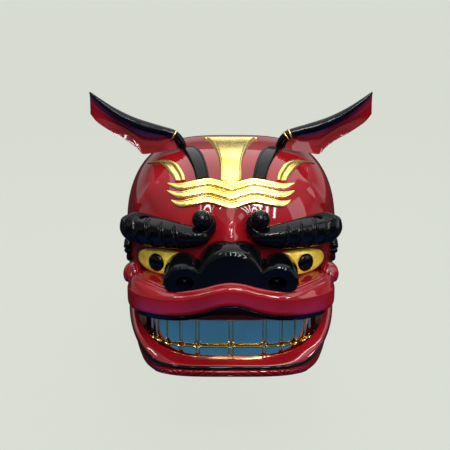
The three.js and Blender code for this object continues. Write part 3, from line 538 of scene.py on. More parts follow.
def tooth_row(low, high, bite_up):
    """Pillowed teeth side by side round the arch, rounded most at the corners of the bite."""
    x, y, length = arch_length_table(TOOTH_ARCH)
    half = len(x) // 2
    gaps = [np.interp(-g, -x[:half], length[:half]) for g in TOOTH_GAPS_X[1:]]
    gaps += [np.interp(-g, -y[:half], length[:half]) for g in TOOTH_GAPS_Y]
    gaps = sorted([0.0, *gaps, length[-1] / 2])
    gaps += [length[-1] - g for g in reversed(gaps[:-1])]
    slope_x, slope_y = np.gradient(x, length), np.gradient(y, length)
    parts = []
    for start, end in zip(gaps[:-1], gaps[1:]):
        s0, s1 = start + TOOTH["groove"], end - TOOTH["groove"]
        u = edge_spaced(s0, s1, TOOTH["rows"], TOOTH["roll"])
        v = edge_spaced(low, high, TOOTH["rows"], TOOTH["roll"])
        corners = [TOOTH["root_corner"], min(TOOTH["bite_corner"], (s1 - s0) * 0.38)]  # above, below
        s, z, deep = rounded_panel(u, v, corners[::-1] if bite_up else corners, TOOTH["roll"])
        foot = np.stack([np.interp(s, length, x), np.interp(s, length, y)], axis=-1)
        away = unit(np.stack([-np.interp(s, length, slope_y), np.interp(s, length, slope_x)], axis=-1))
        away = away * np.where((away * (foot - (0, ARCH_END_Y))).sum(axis=-1) > 0, 1, -1)[..., None]
        front = np.concatenate([foot - away * deep[..., None], z[..., None]], axis=-1)
        rear = np.concatenate([foot - away * TOOTH["deep"], z[..., None]], axis=-1)
        parts.append(closed_panel(front, rear))
    return joined(parts)


def edge_spaced(a, b, count, roll):
    """Values from a to b, closer together near both ends."""
    s = np.linspace(-1, 1, count)
    inner = (1 - 0.5 * min(0.9, 3 * roll / (b - a))) * s + 0.5 * min(0.9, 3 * roll / (b - a)) * s**5
    return (a + b) / 2 + (b - a) / 2 * np.sign(s) * np.abs(inner) ** 0.8


def rounded_panel(u, v, corners, roll):
    """Grid with its corners pulled in to arcs, and how far each point lies behind the face."""
    s, z = np.meshgrid(u, v, indexing="ij")
    s0, s1, z0, z1 = u[0], u[-1], v[0], v[-1]
    for side, s_edge in ((-1, s0), (1, s1)):
        for end, z_edge, r in ((-1, z0, corners[1]), (1, z1, corners[0])):
            a = (side * (s - (s_edge - side * r))) / r
            b = (end * (z - (z_edge - end * r))) / r
            inside = (a > 0) & (b > 0)
            a2, b2 = a * np.sqrt(np.maximum(1 - b * b / 2, 0)), b * np.sqrt(np.maximum(1 - a * a / 2, 0))
            s = np.where(inside, s_edge - side * r + side * a2 * r, s)
            z = np.where(inside, z_edge - end * r + end * b2 * r, z)
    reach = np.full_like(s, 1e9)
    for side, s_edge in ((-1, s0), (1, s1)):
        reach = np.minimum(reach, side * (s_edge - s))
    for end, z_edge in ((-1, z0), (1, z1)):
        reach = np.minimum(reach, end * (z_edge - z))
    for side, s_edge in ((-1, s0), (1, s1)):
        for end, z_edge, r in ((-1, z0, corners[1]), (1, z1, corners[0])):
            cs, cz = s_edge - side * r, z_edge - end * r
            inside = (side * (s - cs) > 0) & (end * (z - cz) > 0)
            reach = np.where(inside, np.minimum(reach, r - np.hypot(s - cs, z - cz)), reach)
    e = np.clip(1 - reach / roll, 0, 1)
    deep = roll * (1 - np.sqrt(np.maximum(1 - e * e, 0)))
    return s, z, deep


def closed_panel(front, rear):
    """A closed body between two grids that lie face to face."""
    n, m = front.shape[:2]
    points = np.vstack([front.reshape(-1, 3), rear.reshape(-1, 3)])
    off = n * m
    faces = []
    for i in range(n - 1):
        for j in range(m - 1):
            a, b, c, d = i * m + j, (i + 1) * m + j, (i + 1) * m + j + 1, i * m + j + 1
            faces += [(a, b, c, d), (off + d, off + c, off + b, off + a)]
    rim = [i * m for i in range(n)] + [(n - 1) * m + j for j in range(1, m)]
    rim += [i * m + m - 1 for i in range(n - 2, -1, -1)] + [j for j in range(m - 2, 0, -1)]
    for k, a in enumerate(rim):
        b = rim[(k + 1) % len(rim)]
        faces.append((b, a, off + a, off + b))
    return points, turned_out(points, faces)


BITE_SPACE = 0.3
upper_row = tooth_row(BITE_Z + BITE_SPACE, GUM_Z + 2, False)
lower_row = tooth_row(TOOTH_FOOT_Z - 1, BITE_Z - BITE_SPACE, True)
piece("upper_tooth_row", *upper_row, TOOTH_GOLD, "head", ["upper_teeth"], "gold_leaf")
piece("lower_tooth_row", *lower_row, TOOTH_GOLD, "jaw", ["lower_teeth"], "gold_leaf")
BITE_GAP = 5  # the gilding between the teeth stops this far from the bite
for name, low, high, body in (("upper_tooth_backing", BITE_Z + BITE_GAP, GUM_Z, "head"),
                              ("lower_tooth_backing", TOOTH_FOOT_Z, BITE_Z - BITE_GAP, "jaw")):
    backing = [(-2.4, low), (-2.4, high), (-10, high), (-10, low)]
    piece(name, *arch_band(backing, TOOTH_ARCH, 11), TOOTH_GOLD, body, slot="gold_leaf")

# Lip
LIP = (  # x, turn, out, low, crest, top
    (0, 0, 53, 102, 125, 131.5), (14, 2, 53, 100, 123.5, 129.5), (30, 5, 54, 94, 118.5, 124.5),
    (48, 9, 54.5, 89.5, 114, 121), (66, 16, 55, 88, 112.5, 122), (80, 28, 50, 86.5, 111.5, 126),
    (90, 46, 43, 85.5, 111, 128), (97, 64, 32.5, 87, 110, 127), (104, 78, 22, 91, 109, 121),
    (110, 85, 13, 96.5, 107, 113.5),
)
LIP_BASE_Z = 105
LIP_ROOT = 8
LIP_GROOVES = (8.5, 15, 21.5)  # behind the lip's front
LIP_GROOVE = 1.3  # depth and half width


def lip_stations(count):
    table = [(-x, -turn, out, low, crest, top) for x, turn, out, low, crest, top in LIP[:0:-1]] + list(LIP)
    plan = [(x, -1.4 * out * math.cos(math.radians(turn)), 0) for x, turn, out, *_ in table]
    return curve(table, evenly(plan, count))


def lip_body():
    rings = []
    for x, turn, out, low, crest, top in lip_stations(170):
        base = skull_front(x, LIP_BASE_Z)[1] + LIP_ROOT
        way = np.array((math.sin(math.radians(turn)), -math.cos(math.radians(turn))))
        reach = out + LIP_ROOT
        rise = top - crest
        section = [
            (0, low), (reach * 0.4, low), (reach - 12, low), (reach - 5, low + 0.4), (reach - 2, low + 1.6),
            (reach - 0.4, low + 4.5), (reach, low + 9), (reach, crest - 5), (reach - 0.3, crest - 1.5),
            (reach - 1.6, crest + 1.6), (reach - 4.5, crest + rise * 0.45), (reach - 9, crest + rise * 0.78),
            (max(reach - 14, reach * 0.6), crest + rise * 0.95), (max(reach - 20, reach * 0.5), top),
            (reach * 0.3, top), (0, top),
        ]
        fine = curve(section, np.linspace(0, len(section) - 1, 90))
        for groove in LIP_GROOVES:
            valley = np.exp(-((fine[:, 0] - reach + groove) / LIP_GROOVE) ** 2)
            fine[:, 1] -= LIP_GROOVE * valley * (fine[:, 1] > crest + 1.6)
        rings.append([(x + n * way[0], base + n * way[1], z) for n, z in fine])
    return loft(rings)


piece("lip", *lip_body(), RED, "head", ["upper_lip"], sharp=60)
LIP_LINE = {"drop": 6, "drop_more": 6.2, "end_x": 106}
# how far behind the lip's front, and the share of the line's depth
LIP_LINE_EDGE = ((2.6, 0.1), (2.9, 0.45), (3.5, 0.78), (5, 0.96), (8, 1), (14, 1))


def lip_line():
    """The black line under the lip, deeper below the nose."""
    rings = []
    for x, turn, out, low, *_ in lip_stations(170):
        if abs(x) > LIP_LINE["end_x"]:
            continue
        base = skull_front(x, LIP_BASE_Z)[1]
        way = np.array((math.sin(math.radians(turn)), -math.cos(math.radians(turn))))
        drop = LIP_LINE["drop"] + LIP_LINE["drop_more"] * smooth_step(38, 0, abs(x))
        section = [(out - back, low + 0.5) for back in (14, 3.4)]
        section += [(out - back, low - drop * share) for back, share in LIP_LINE_EDGE]
        fine = curve(section, np.linspace(0, len(section) - 1, 24))
        rings.append([(x + n * way[0], base + n * way[1], z) for n, z in fine])
    return loft(rings)


piece("lip_line", *lip_line(), BLACK, "head", ["lip_edge"], "black_lacquer", sharp=60)

# Nose
NOSE_FACE = (  # x, z round the flat front
    (0, 166), (7, 165.4), (14, 163.5), (20.5, 160.8), (26, 157), (30.5, 153), (34, 148.5), (36.5, 145),
    (38, 142), (41.5, 143.6), (46, 146), (51.5, 148.2), (57, 149), (63, 148.6), (69, 147), (74, 144.2),
    (78, 140), (81, 135.5), (82, 130), (81.4, 125.5), (79, 122), (74.5, 118.4), (68, 116), (50, 114),
    (30, 112.6), (0, 112),
)
NOSE_CREST = (  # x, z round the body behind it
    (0, 178.6), (8, 178), (16, 175.6), (23.5, 171.8), (30, 166.6), (35, 161), (39, 155.4), (41.5, 151.8),
    (42.6, 149.6), (45, 152.2), (49, 154.8), (54, 156.6), (59.5, 157.2), (66, 156.6), (72.5, 154.2),
    (77.6, 150), (81.5, 144.6), (84, 138), (84.6, 131), (83.6, 125.5), (81, 121.4), (76, 117.6),
    (69, 114.6), (50, 112.6), (30, 111.4), (0, 111),
)
NOSE_FRONT = -139
NOSE_CUSP = 8
NOSE_ROLL = 34
NOSE_MIDDLE = (0, 138)
NOSTRIL = {"x": 57, "z": 130, "size": (11.3, 15, 8.4)}


def nose_outline(table):
    """Both halves of an outline, smooth between its cusps."""
    right = [curve(table[:NOSE_CUSP + 1], np.linspace(0, NOSE_CUSP, 33)[:-1]),
             curve(table[NOSE_CUSP:], np.linspace(0, len(table) - 1 - NOSE_CUSP, 69))]
    right = np.vstack(right)
    left = right[-2:0:-1] * (-1, 1)
    return np.vstack([right, left])


def nose_body():
    face, crest = nose_outline(NOSE_FACE), nose_outline(NOSE_CREST)
    middle = np.array(NOSE_MIDDLE)
    steps = [(middle + (face - middle) * 0.975, NOSE_FRONT)]
    steps += [(middle + (face - middle) * 0.99, NOSE_FRONT + 0.25)]
    for turn in np.radians(np.linspace(4, 90, 16)):
        back = 0.8 + NOSE_ROLL * (1 - math.cos(turn))
        steps.append((face + (crest - face) * math.sin(turn), NOSE_FRONT + back))
    steps += [(crest, -82), (crest * (0.98, 1), -70)]
    points, faces = loft([[(x, y, z) for x, z in outline] for outline, y in steps], caps=False)
    faces.append(tuple(range(len(face))))
    faces.append(tuple(len(points) - 1 - i for i in range(len(face))))
    return points, faces


nose = piece("nose_carving", *nose_body(), BLACK, "head", ["nose"], "black_lacquer", sharp=38)


def bowl(x, y, z, size, columns=40, rows=20):
    turn = np.linspace(0, 2 * math.pi, columns, endpoint=False)
    rings = []
    for a in np.linspace(0.02, math.pi - 0.02, rows):
        rings.append([(x + size[0] * math.sin(a) * math.cos(t), y - size[1] * math.cos(a),
                       z + size[2] * math.sin(a) * math.sin(t)) for t in turn])
    points, faces = loft(rings)
    return points, turned_out(points, faces)


for word, side in SIDES:
    nostril = bowl(side * NOSTRIL["x"], NOSE_FRONT + 1, NOSTRIL["z"], NOSTRIL["size"])
    cut(nose, plain("nostril", *nostril), "DIFFERENCE", sharp=38)

# Eyes
EYE = {"x": 83, "z": 143, "half_width": 35, "half_height": 15.5, "bulge": 3.6, "tilt": 3.0, "flatness": 5}
PUPIL = {"x": 91, "z": 142.5, "radius": 11.6, "height": 5.2, "root": 4.6}
for word, side in SIDES:
    turn = np.linspace(0, 2 * math.pi, 96, endpoint=False)
    rings = []
    for share in (1.0, *np.cos(np.linspace(0, 1.5, 18))):
        height = EYE["bulge"] * math.sqrt(1 - share ** EYE["flatness"]) if rings else -1.5
        x = EYE["x"] + EYE["half_width"] * share * power(np.cos(turn), 0.9)
        z = EYE["z"] + EYE["half_height"] * share * power(np.sin(turn), 0.9)
        lean = EYE["tilt"] * (1 - share * np.sin(turn)) if rings else 0
        rings.append(mirrored(skull_front(np.clip(x, 0, 140), z, height + lean), side))
    piece(f"eye_gilding_{word}", *loft(rings), EYE_GOLD, "head", [f"eye_{word}"], "gold_leaf", sharp=70)
    centre = skull_front(PUPIL["x"], PUPIL["z"], PUPIL["root"])
    out = skull_normal(centre)
    across = unit(np.cross(out, (0, 0, 1)))
    up = np.cross(across, out)
    rings = []
    for a in np.linspace(1.85, 0.03, 16):
        ring = [centre + PUPIL["radius"] * math.sin(a) * (math.cos(t) * across + math.sin(t) * up)
                + (PUPIL["height"] * math.cos(a) + EYE["tilt"]) * out for t in turn]
        rings.append(mirrored(ring, side))
    piece(f"pupil_dome_{word}", *loft(rings), BLACK, "head", [f"pupil_{word}"], "black_lacquer")

# Brows
BROW = (  # x, y, z, r
    (134, -46, 181, 3), (133.6, -48, 181, 9), (132, -52, 181, 14), (128, -58, 181.5, 17.8),
    (121, -67, 182, 19.8), (109, -79, 182, 20), (90, -91, 181.5, 18.8), (69, -100, 180.5, 16.8),
    (52, -105, 180, 14.4), (38, -108, 181, 11.4),
)
BROW_CURL = {"x": 37, "y": -106, "z": 197.5, "path": 13.2, "start": -78, "turn": 135, "first": 8.6, "last": 3}
BROW_KNOB = (36, -109, 203)
BROW_KNOB_RADIUS = 12.4
BROW_GROOVES = (17, 34, 51, 68, 85)  # how far from the outer end each groove starts on top
BROW_GROOVE_LEAN = 5  # how much nearer the nose for each radian round


def roll(rows, rings_count, width, shape=None):
    """A round body along a table of x, y, z and radius; shape changes the radius of ring and place."""
    rows = np.asarray(rows, float)
    path = curve(rows, evenly(rows, rings_count))
    along = unit(np.gradient(path[:, :3], axis=0))
    up = np.array((0, 0, 1.0))
    turn = np.linspace(0, 2 * math.pi, width, endpoint=False)
    rings = []
    for i, (x, y, z, r) in enumerate(path):
        up = unit(up - np.dot(up, along[i]) * along[i])
        second = np.cross(along[i], up)
        radius = np.full(width, r) if shape is None else shape(path[i], turn, i / (rings_count - 1))
        out = np.cos(turn)[:, None] * up + np.sin(turn)[:, None] * second
        rings.append(np.array((x, y, z)) + radius[:, None] * out)
    points, faces = loft(rings)
    return points, turned_out(points, faces)


def brow_section(place, turn, share):
    """An upper facet that ends in a ridge, and slanting grooves with raised lips over the front."""
    front = -np.where(turn > math.pi, turn - 2 * math.pi, turn)
    ridge = np.radians(44 + 26 * share)
    radius = place[3] * (1 + 0.05 * np.exp(-((front - ridge) / 0.25) ** 2)
                         - 0.04 * np.exp(-((front - ridge + 0.55) / 0.3) ** 2)
                         - 0.02 * np.exp(-((front - ridge - 0.6) / 0.34) ** 2))
    reach = smooth_step(0.3, 0.7, front) * smooth_step(2.9, 2.4, front)
    for groove in BROW_GROOVES:
        away = share * BROW_LENGTH - groove - BROW_GROOVE_LEAN * front
        lips = 0.8 * np.exp(-((np.abs(away) - 2.4) / 0.9) ** 2)
        radius = radius + reach * (lips - 1.9 * np.exp(-(away / 1.2) ** 2))
    return radius


BROW_ROLL = list(BROW)
for share in np.linspace(0, 1, 11):
    turn = math.radians(BROW_CURL["start"] + BROW_CURL["turn"] * share)
    BROW_ROLL.append((BROW_CURL["x"] - BROW_CURL["path"] * math.cos(turn), BROW_CURL["y"],
                      BROW_CURL["z"] + BROW_CURL["path"] * math.sin(turn),
                      BROW_CURL["first"] + (BROW_CURL["last"] - BROW_CURL["first"]) * share))
BROW_LENGTH = np.linalg.norm(np.diff(np.array(BROW_ROLL)[:, :3], axis=0), axis=1).sum()
for word, side in SIDES:
    body = roll(BROW_ROLL, 300, 64, brow_section)
    points, faces = joined([body, bowl(*BROW_KNOB, (BROW_KNOB_RADIUS,) * 3)])
    piece(f"brow_{word}", mirrored(points, side), faces, BLACK, "head", [f"eyebrow_{word}"], "black_lacquer",
          sharp=60)

# Gilded carving on the forehead


def ribbon(x, angle, heights, side=1):
    """A raised strip on the skull from grids of x, angle and height, one row for each station."""
    top = on_skull(x, angle, heights)
    under = on_skull(x[:, [-1, 0]], angle[:, [-1, 0]], -2.0)
    return loft(mirrored(np.concatenate([top, under], axis=1), side))


def spread(low, high, across):
    return low[:, None] + (high - low)[:, None] * across


WAVE = {"half_length": 81, "lowest": 22.6, "pitch": 4.6, "half": 2.2}
WAVE_LINE = ((0, -1.2), (14, 0.3), (28, 1.7), (48, 0.5), (66, -0.6), (81, 1.2))
ACROSS = (1 - np.cos(np.linspace(0, math.pi, 41))) / 2 * 0.6 + np.linspace(0, 1, 41) * 0.4


def wave_rise(x):
    """How far the waves' line rises at x; the line is the same on both sides of the middle."""
    line = [(-k, r) for k, r in WAVE_LINE[:0:-1]] + list(WAVE_LINE)
    return curve([r for _, r in line], x, [k for k, _ in line])


def waves_top(x):
    """Angle of the upper edge of the highest wave, where the crown's strips start."""
    return WAVE["lowest"] + 2 * WAVE["pitch"] + wave_rise(np.clip(x, -78, 78)) + WAVE["half"] + 0.25


for level, word in enumerate(("lower", "middle", "upper")):
    place = np.sin(np.linspace(-math.pi / 2, math.pi / 2, 241)) * 0.6 + np.linspace(-1, 1, 241) * 0.4
    x = place * WAVE["half_length"] * (0.93 if level == 0 else 1)
    half = WAVE["half"] * np.sqrt(np.maximum(1 - np.abs(place) ** 5, 0.0005))
    angle = WAVE["lowest"] + WAVE["pitch"] * level + wave_rise(x) + (WAVE["half"] - half) * 0.8
    fade = np.minimum(1, 4 * (1 - np.abs(place)))[:, None]
    edge = np.sqrt(np.maximum(1 - (2 * ACROSS - 1) ** 4, 0))
    flute = np.exp(-((ACROSS - 0.7) / 0.14) ** 2)
    heights = (0.5 + 3.3 * edge * (1 - 0.2 * ACROSS) - 1.7 * flute * fade) * (0.35 + 0.65 * fade)
    x, angle = spread(x, x, ACROSS), spread(angle - half, angle + half, ACROSS)
    piece(f"wave_gilding_{word}", *ribbon(x, angle, heights), GOLD, "head", [f"wave_{word}"], "gold_leaf",
          sharp=70)

CROWN_STRIPE = (  # angle, half width
    (33, 14.2), (47, 15), (58, 19.5), (66, 23.5), (73, 27.5), (82, 33.5), (88, 38),
)
STRIPE_TOP = 88
STRIPE_CREASE = 79
share = np.linspace(0, 1, 100)
half = curve([w for _, w in CROWN_STRIPE], CROWN_STRIPE[0][0] * (1 - share) + STRIPE_TOP * share,
             [a for a, _ in CROWN_STRIPE])
x = spread(-half, half, ACROSS)
angle = waves_top(x) + (STRIPE_TOP - waves_top(x)) * share[:, None]
bead = np.exp(-((np.abs(2 * ACROSS - 1) - 0.87) / 0.07) ** 2)
end = np.exp(-((share - 0.97) / 0.02) ** 2)[:, None]
crease = np.exp(-((angle - STRIPE_CREASE) / 0.7) ** 2) * (1 - bead)
heights = 0.7 + 2.3 * np.maximum(bead, end) - 0.5 * crease
heights = np.where((ACROSS == 0) | (ACROSS == 1), 0.3, heights)
piece("crown_gilding", *ribbon(x, angle, heights), GOLD, "head", ["crown_stripe"], "gold_leaf", sharp=70)

CROWN_BAND = (  # angle, inner x, outer x
    (35, 27.5, 44.5), (44, 31, 49.5), (50, 34, 54), (56, 37.5, 58.5), (61, 42, 63), (65, 48, 66),
)
BAND_FOOT, BAND_TOP = 35, 65
TEMPLE_LEAF = (  # low x, low angle, high x, high angle
    (71.5, 35, 58, 35), (73.5, 37.3, 59, 37.8), (76, 39.5, 61, 40.5), (79.5, 42, 64.5, 44),
    (83, 45, 69, 48), (87.5, 48.5, 76, 51.5), (92, 52, 86, 54.8), (98, 55.4, 95.5, 57),
    (106, 59.7, 104.6, 60.8), (113, 65, 112.5, 65.6),
)
for word, side in SIDES:
    share = np.linspace(0, 1, 70)
    sides = curve([(i, o) for _, i, o in CROWN_BAND], BAND_FOOT + (BAND_TOP - BAND_FOOT) * share,
                  [a for a, *_ in CROWN_BAND])
    x = spread(sides[:, 0], sides[:, 1], ACROSS)
    angle = waves_top(x) + (BAND_TOP - waves_top(x)) * share[:, None]
    edge = np.sqrt(np.maximum(1 - (2 * ACROSS - 1) ** 6, 0))
    scored = np.exp(-((ACROSS - 0.17) / 0.045) ** 2) * np.minimum(1, 6 * (1 - share))[:, None]
    band = ribbon(x, angle, 0.5 + 3.7 * edge - 1.3 * scored, side)
    piece(f"crown_lacquer_{word}", *band, BLACK, "head", [f"crown_band_{word}"], "black_lacquer", sharp=70)
    leaf = curve(TEMPLE_LEAF, np.linspace(0, len(TEMPLE_LEAF) - 1, 100))
    x, angle = spread(leaf[:, 0], leaf[:, 2], ACROSS), spread(leaf[:, 1], leaf[:, 3], ACROSS)
    angle = np.maximum(angle, waves_top(x) + 0.02 * np.arange(100)[:, None])
    edge = np.sqrt(np.maximum(1 - (2 * ACROSS - 1) ** 4, 0))
    fade = np.minimum(1, np.linspace(3, 0.0, 100))[:, None]
    heights = 0.3 + (3.0 * edge - 2.3 * np.exp(-((ACROSS - 0.5) / 0.17) ** 2)) * (0.25 + 0.75 * fade)
    leaf = ribbon(x, angle, heights, side)
    piece(f"leaf_gilding_{word}", *leaf, GOLD, "head", [f"temple_leaf_{word}"], "gold_leaf", sharp=70)

# Cheeks and side scrolls
CHEEK = (127, -60, 118)
CHEEK_SIZE = (14, 17, 16)
CHEEK_COIL = {"turns": 1.5, "depth": 0.13, "width": 0.11}
SCROLL = {"x": 137, "y": -16, "z": 137, "radius": 12, "tall": 1.25, "thick": 6.5, "start": 150, "turn": 300}
SCROLL_EYE = (7, 5, 5)
for word, side in SIDES:
    points, faces = bowl(*CHEEK, CHEEK_SIZE, 72, 36)
    away = (points - CHEEK) / CHEEK_SIZE
    forward = -away[:, 1] + 0.4 * away[:, 0]
    out = np.hypot(away[:, 2], forward)
    coil = (CHEEK_COIL["turns"] * out - np.arctan2(away[:, 2], forward) / (2 * math.pi)) % 1
    groove = np.exp(-((coil - 0.5) / CHEEK_COIL["width"]) ** 2) * smooth_step(0.15, 0.4, out)
    points = CHEEK + away * CHEEK_SIZE * (1 - CHEEK_COIL["depth"] * groove)[:, None]
    piece(f"cheek_knob_{word}", mirrored(points, side), faces, RED, "head", [f"cheek_{word}"])
    rows = []
    for share in np.linspace(0, 1, 12):
        turn = math.radians(SCROLL["start"] - SCROLL["turn"] * share)
        radius = SCROLL["radius"] * (1 - 0.35 * share)
        rows.append((SCROLL["x"], SCROLL["y"] + radius * math.cos(turn),
                     SCROLL["z"] + SCROLL["tall"] * radius * math.sin(turn),
                     SCROLL["thick"] * (1 - 0.45 * share)))
    eye = bowl(SCROLL["x"], SCROLL["y"], SCROLL["z"], SCROLL_EYE)
    points, faces = joined([roll(rows, 90, 28), eye])
    piece(f"side_scroll_{word}", mirrored(points, side), faces, BLACK, "head", [f"side_curl_{word}"],
          "black_lacquer", sharp=60)

# Lower jaw
# the skin's height, and how far it lies inside the arch at the side and at the chin
JAW_SKIN = ((0, 20, 11), (5, 16, 7), (14, 12.5, 4), (42, 6, 1), (68, 1.5, 0), (92, 0, 0))
# the rim's height at each y
JAW_RIM = ((-145, 17), (-120, 24), (-110, 33), (-91, 48), (-60, 67), (-30, 81), (0, 88), (70, 89.5))
JAW_BACK = 62
JAW_STATIONS = 220
JAW_STRAIGHT = 24  # stations along each straight arm


def rim_height(y):
    return curve([z for _, z in JAW_RIM], y, [k for k, _ in JAW_RIM])


def jaw_turns():
    """Turns round the arch, and how far each station lies behind the arch's end."""
    straight = np.linspace(JAW_BACK, 0, JAW_STRAIGHT, endpoint=False)
    curved = np.linspace(0, math.pi, JAW_STATIONS - 2 * JAW_STRAIGHT)
    turns = np.r_[np.zeros(JAW_STRAIGHT), curved, np.full(JAW_STRAIGHT, math.pi)]
    return turns, np.r_[straight, np.zeros(len(curved)), straight[::-1]]


def jaw_side(z, grow=0.0):
    turns, backs = jaw_turns()
    side, chin = curve([(s, c) for _, s, c in JAW_SKIN], z, [k for k, *_ in JAW_SKIN]).T
    half, front, exponent = JAW_ARCH
    x = (half - side + grow) * power(np.cos(turns), 2 / exponent)
    y = (front + chin - grow) * np.abs(np.sin(turns)) ** (2 / exponent) + backs
    return np.stack([x, y, np.broadcast_to(z, x.shape)], axis=-1)


def jaw_rim_line(grow=0.0, lift=0.0):
    """The outer rim, found where the skin meets the rim's height."""
    z = np.full(JAW_STATIONS, 50.0)
    for _ in range(30):
        z = rim_height(jaw_side(z, grow)[:, 1]) + lift
    return jaw_side(z, grow)


def tray_line(z, grow):
    turns, backs = jaw_turns()
    half, front, exponent = TOOTH_ARCH
    x = (half + grow) * power(np.cos(turns), 2 / exponent)
    y = (front - grow) * np.abs(np.sin(turns)) ** (2 / exponent) + backs
    return np.stack([x, y, np.broadcast_to(z, x.shape)], axis=-1)


def jaw_bowl(z):
    """The inner side of the lower lip, which leans out as it rises."""
    return tray_line(z, np.interp(z, (24, 60, 100), (2, 10, 13)))


TRAY = ((6, -14), (10, -12.4), (22.5, -12), (24, -11), (24, -6), (24, 0))  # height, out from the tooth arch
RIM_TOP = ((0.04, 0), (0.15, 0.5), (0.5, 0.6), (0.85, 0.5))  # share of the way across, rise


def jaw_body():
    rim = jaw_rim_line()
    z = np.full(JAW_STATIONS, 40.0)
    for _ in range(30):
        z = np.maximum(rim_height(jaw_bowl(z)[:, 1]), TOOTH_FOOT_Z)
    lip_in = jaw_bowl(z)
    layers = [tray_line(level, grow) for level, grow in TRAY]
    for share in (0, 0.25, 0.5, 0.75, 0.93):
        layers.append(jaw_bowl(TOOTH_FOOT_Z + (z - TOOTH_FOOT_Z) * share))
    for share, rise in RIM_TOP:
        layers.append(lip_in + (rim - lip_in) * share + (0, 0, rise))
    layers.append(rim - (0, 0, 0.6))
    for share in (0.06, 0.15, 0.3, 0.45, 0.6, 0.72, 0.82, 0.9, 0.96, 1.0):
        layers.append(jaw_side((rim[:, 2] - 1) * (1 - share)))
    layers.append(jaw_side(np.zeros(JAW_STATIONS)) * (0.985, 0.985, 1))
    points, faces = loft(np.stack(layers, axis=1), closed=False, caps=False)
    width = len(layers)
    for i in range(JAW_STATIONS // 2 - 1):
        here, there = i * width, (JAW_STATIONS - 1 - i) * width
        faces.append((here, there, there - width, here + width))
        faces.append((here + 2 * width - 1, there - 1, there + width - 1, here + width - 1))
    last = (JAW_STATIONS - 1) * width
    faces.append(tuple(range(width - 1, -1, -1)) + tuple(last + k for k in range(width)))
    return points, faces


piece("jaw_tray", *jaw_body(), RED, "jaw", ["lower_jaw"], sharp=40)

JAW_LINE = (  # below the rim, out from the skin
    (1.2, -1), (1.2, 0.6), (2, 1.8), (3.8, 2.3), (5.6, 1.8), (6.4, 0.6), (6.4, -1),
)


def jaw_line():
    layers = [jaw_rim_line(out, -down)[3:-3] for down, out in JAW_LINE]
    return loft(np.stack(layers, axis=1))


piece("jaw_line", *jaw_line(), BLACK, "jaw", ["jaw_edge"], "black_lacquer", sharp=60)


BEARD = {"low": 1.0, "high": 12.5, "end_x": 97, "hatch_x": 66, "hatch": 13, "scroll_x": 82, "scroll_z": 6}
BEARD_COLUMNS, BEARD_ROWS = 420, 24


def beard():
    """A low band at the foot of the chin: crossing cuts in the middle and a scroll at each end."""
    levels = np.linspace(BEARD["low"], BEARD["high"], BEARD_ROWS)
    base = np.stack([jaw_side(np.full(JAW_STATIONS, z)) for z in levels], axis=1)
    base = base[(np.abs(base[:, 0, 0]) < BEARD["end_x"]) & (base[:, 0, 1] < -60)]
    base = curve(base.reshape(len(base), -1), np.linspace(0, len(base) - 1, BEARD_COLUMNS))
    base = base.reshape(BEARD_COLUMNS, BEARD_ROWS, 3)
    x, z = base[..., 0], base[..., 2]
    lean = (np.abs(x) + 1.1 * (z - 7)) / BEARD["hatch"]
    hatch = np.exp(-(((lean + 0.5) % 1 - 0.5) / 0.085) ** 2) * (np.abs(x) < BEARD["hatch_x"])
    across, up = (np.abs(x) - BEARD["scroll_x"]) / 1.6, z - BEARD["scroll_z"]
    coil = (np.hypot(across, up) / 3.4 - np.arctan2(up, across) / (2 * math.pi)) % 1
    scroll = np.exp(-((coil - 0.5) / 0.16) ** 2) * (np.abs(x) >= BEARD["hatch_x"])
    rim = np.clip(np.minimum(z - BEARD["low"], BEARD["high"] - z) / 2.0, 0, 1)
    out = 0.2 + 3.3 * np.sqrt(rim) * (1 - 0.85 * np.maximum(hatch, scroll))
    slope_x, slope_y = np.gradient(base[..., 0], axis=0), np.gradient(base[..., 1], axis=0)
    away = unit(np.stack([slope_y, -slope_x, np.zeros_like(x)], axis=-1))
    away = away * np.where((away[..., 1] < 0) | (np.abs(x) > 90), 1, -1)[..., None]
    return closed_panel(base + away * out[..., None], base - away * 1.5)


piece("beard_carving", *beard(), RED, "jaw", ["chin_beard"], sharp=60)

HINGE = {"y": 88, "z": 106}
ARM_EYE_RADIUS = 15
ARM_BELOW = [(32, 58), (56, 57), (78, 60)]
ARM_ABOVE = [(47, 120.5), (38, 106), (32, 92)]
ARM_LAYERS = ((121, 1.6), (121.5, 0.6), (122.4, 0), (129.6, 0), (130.5, 0.6), (131, 1.6))  # x, inset
for word, side in SIDES:
    outline = [(HINGE["y"] + ARM_EYE_RADIUS * math.cos(turn), HINGE["z"] + ARM_EYE_RADIUS * math.sin(turn))
               for turn in np.radians(np.linspace(-50, 95, 24))]
    outline = np.array([*ARM_BELOW, *outline, *ARM_ABOVE])
    inward = unit(outline.mean(axis=0) - outline)
    rings = [[(side * x, y, z) for y, z in outline + inward * inset] for x, inset in ARM_LAYERS]
    piece(f"jaw_arm_{word}", *loft(rings), RED, "jaw")

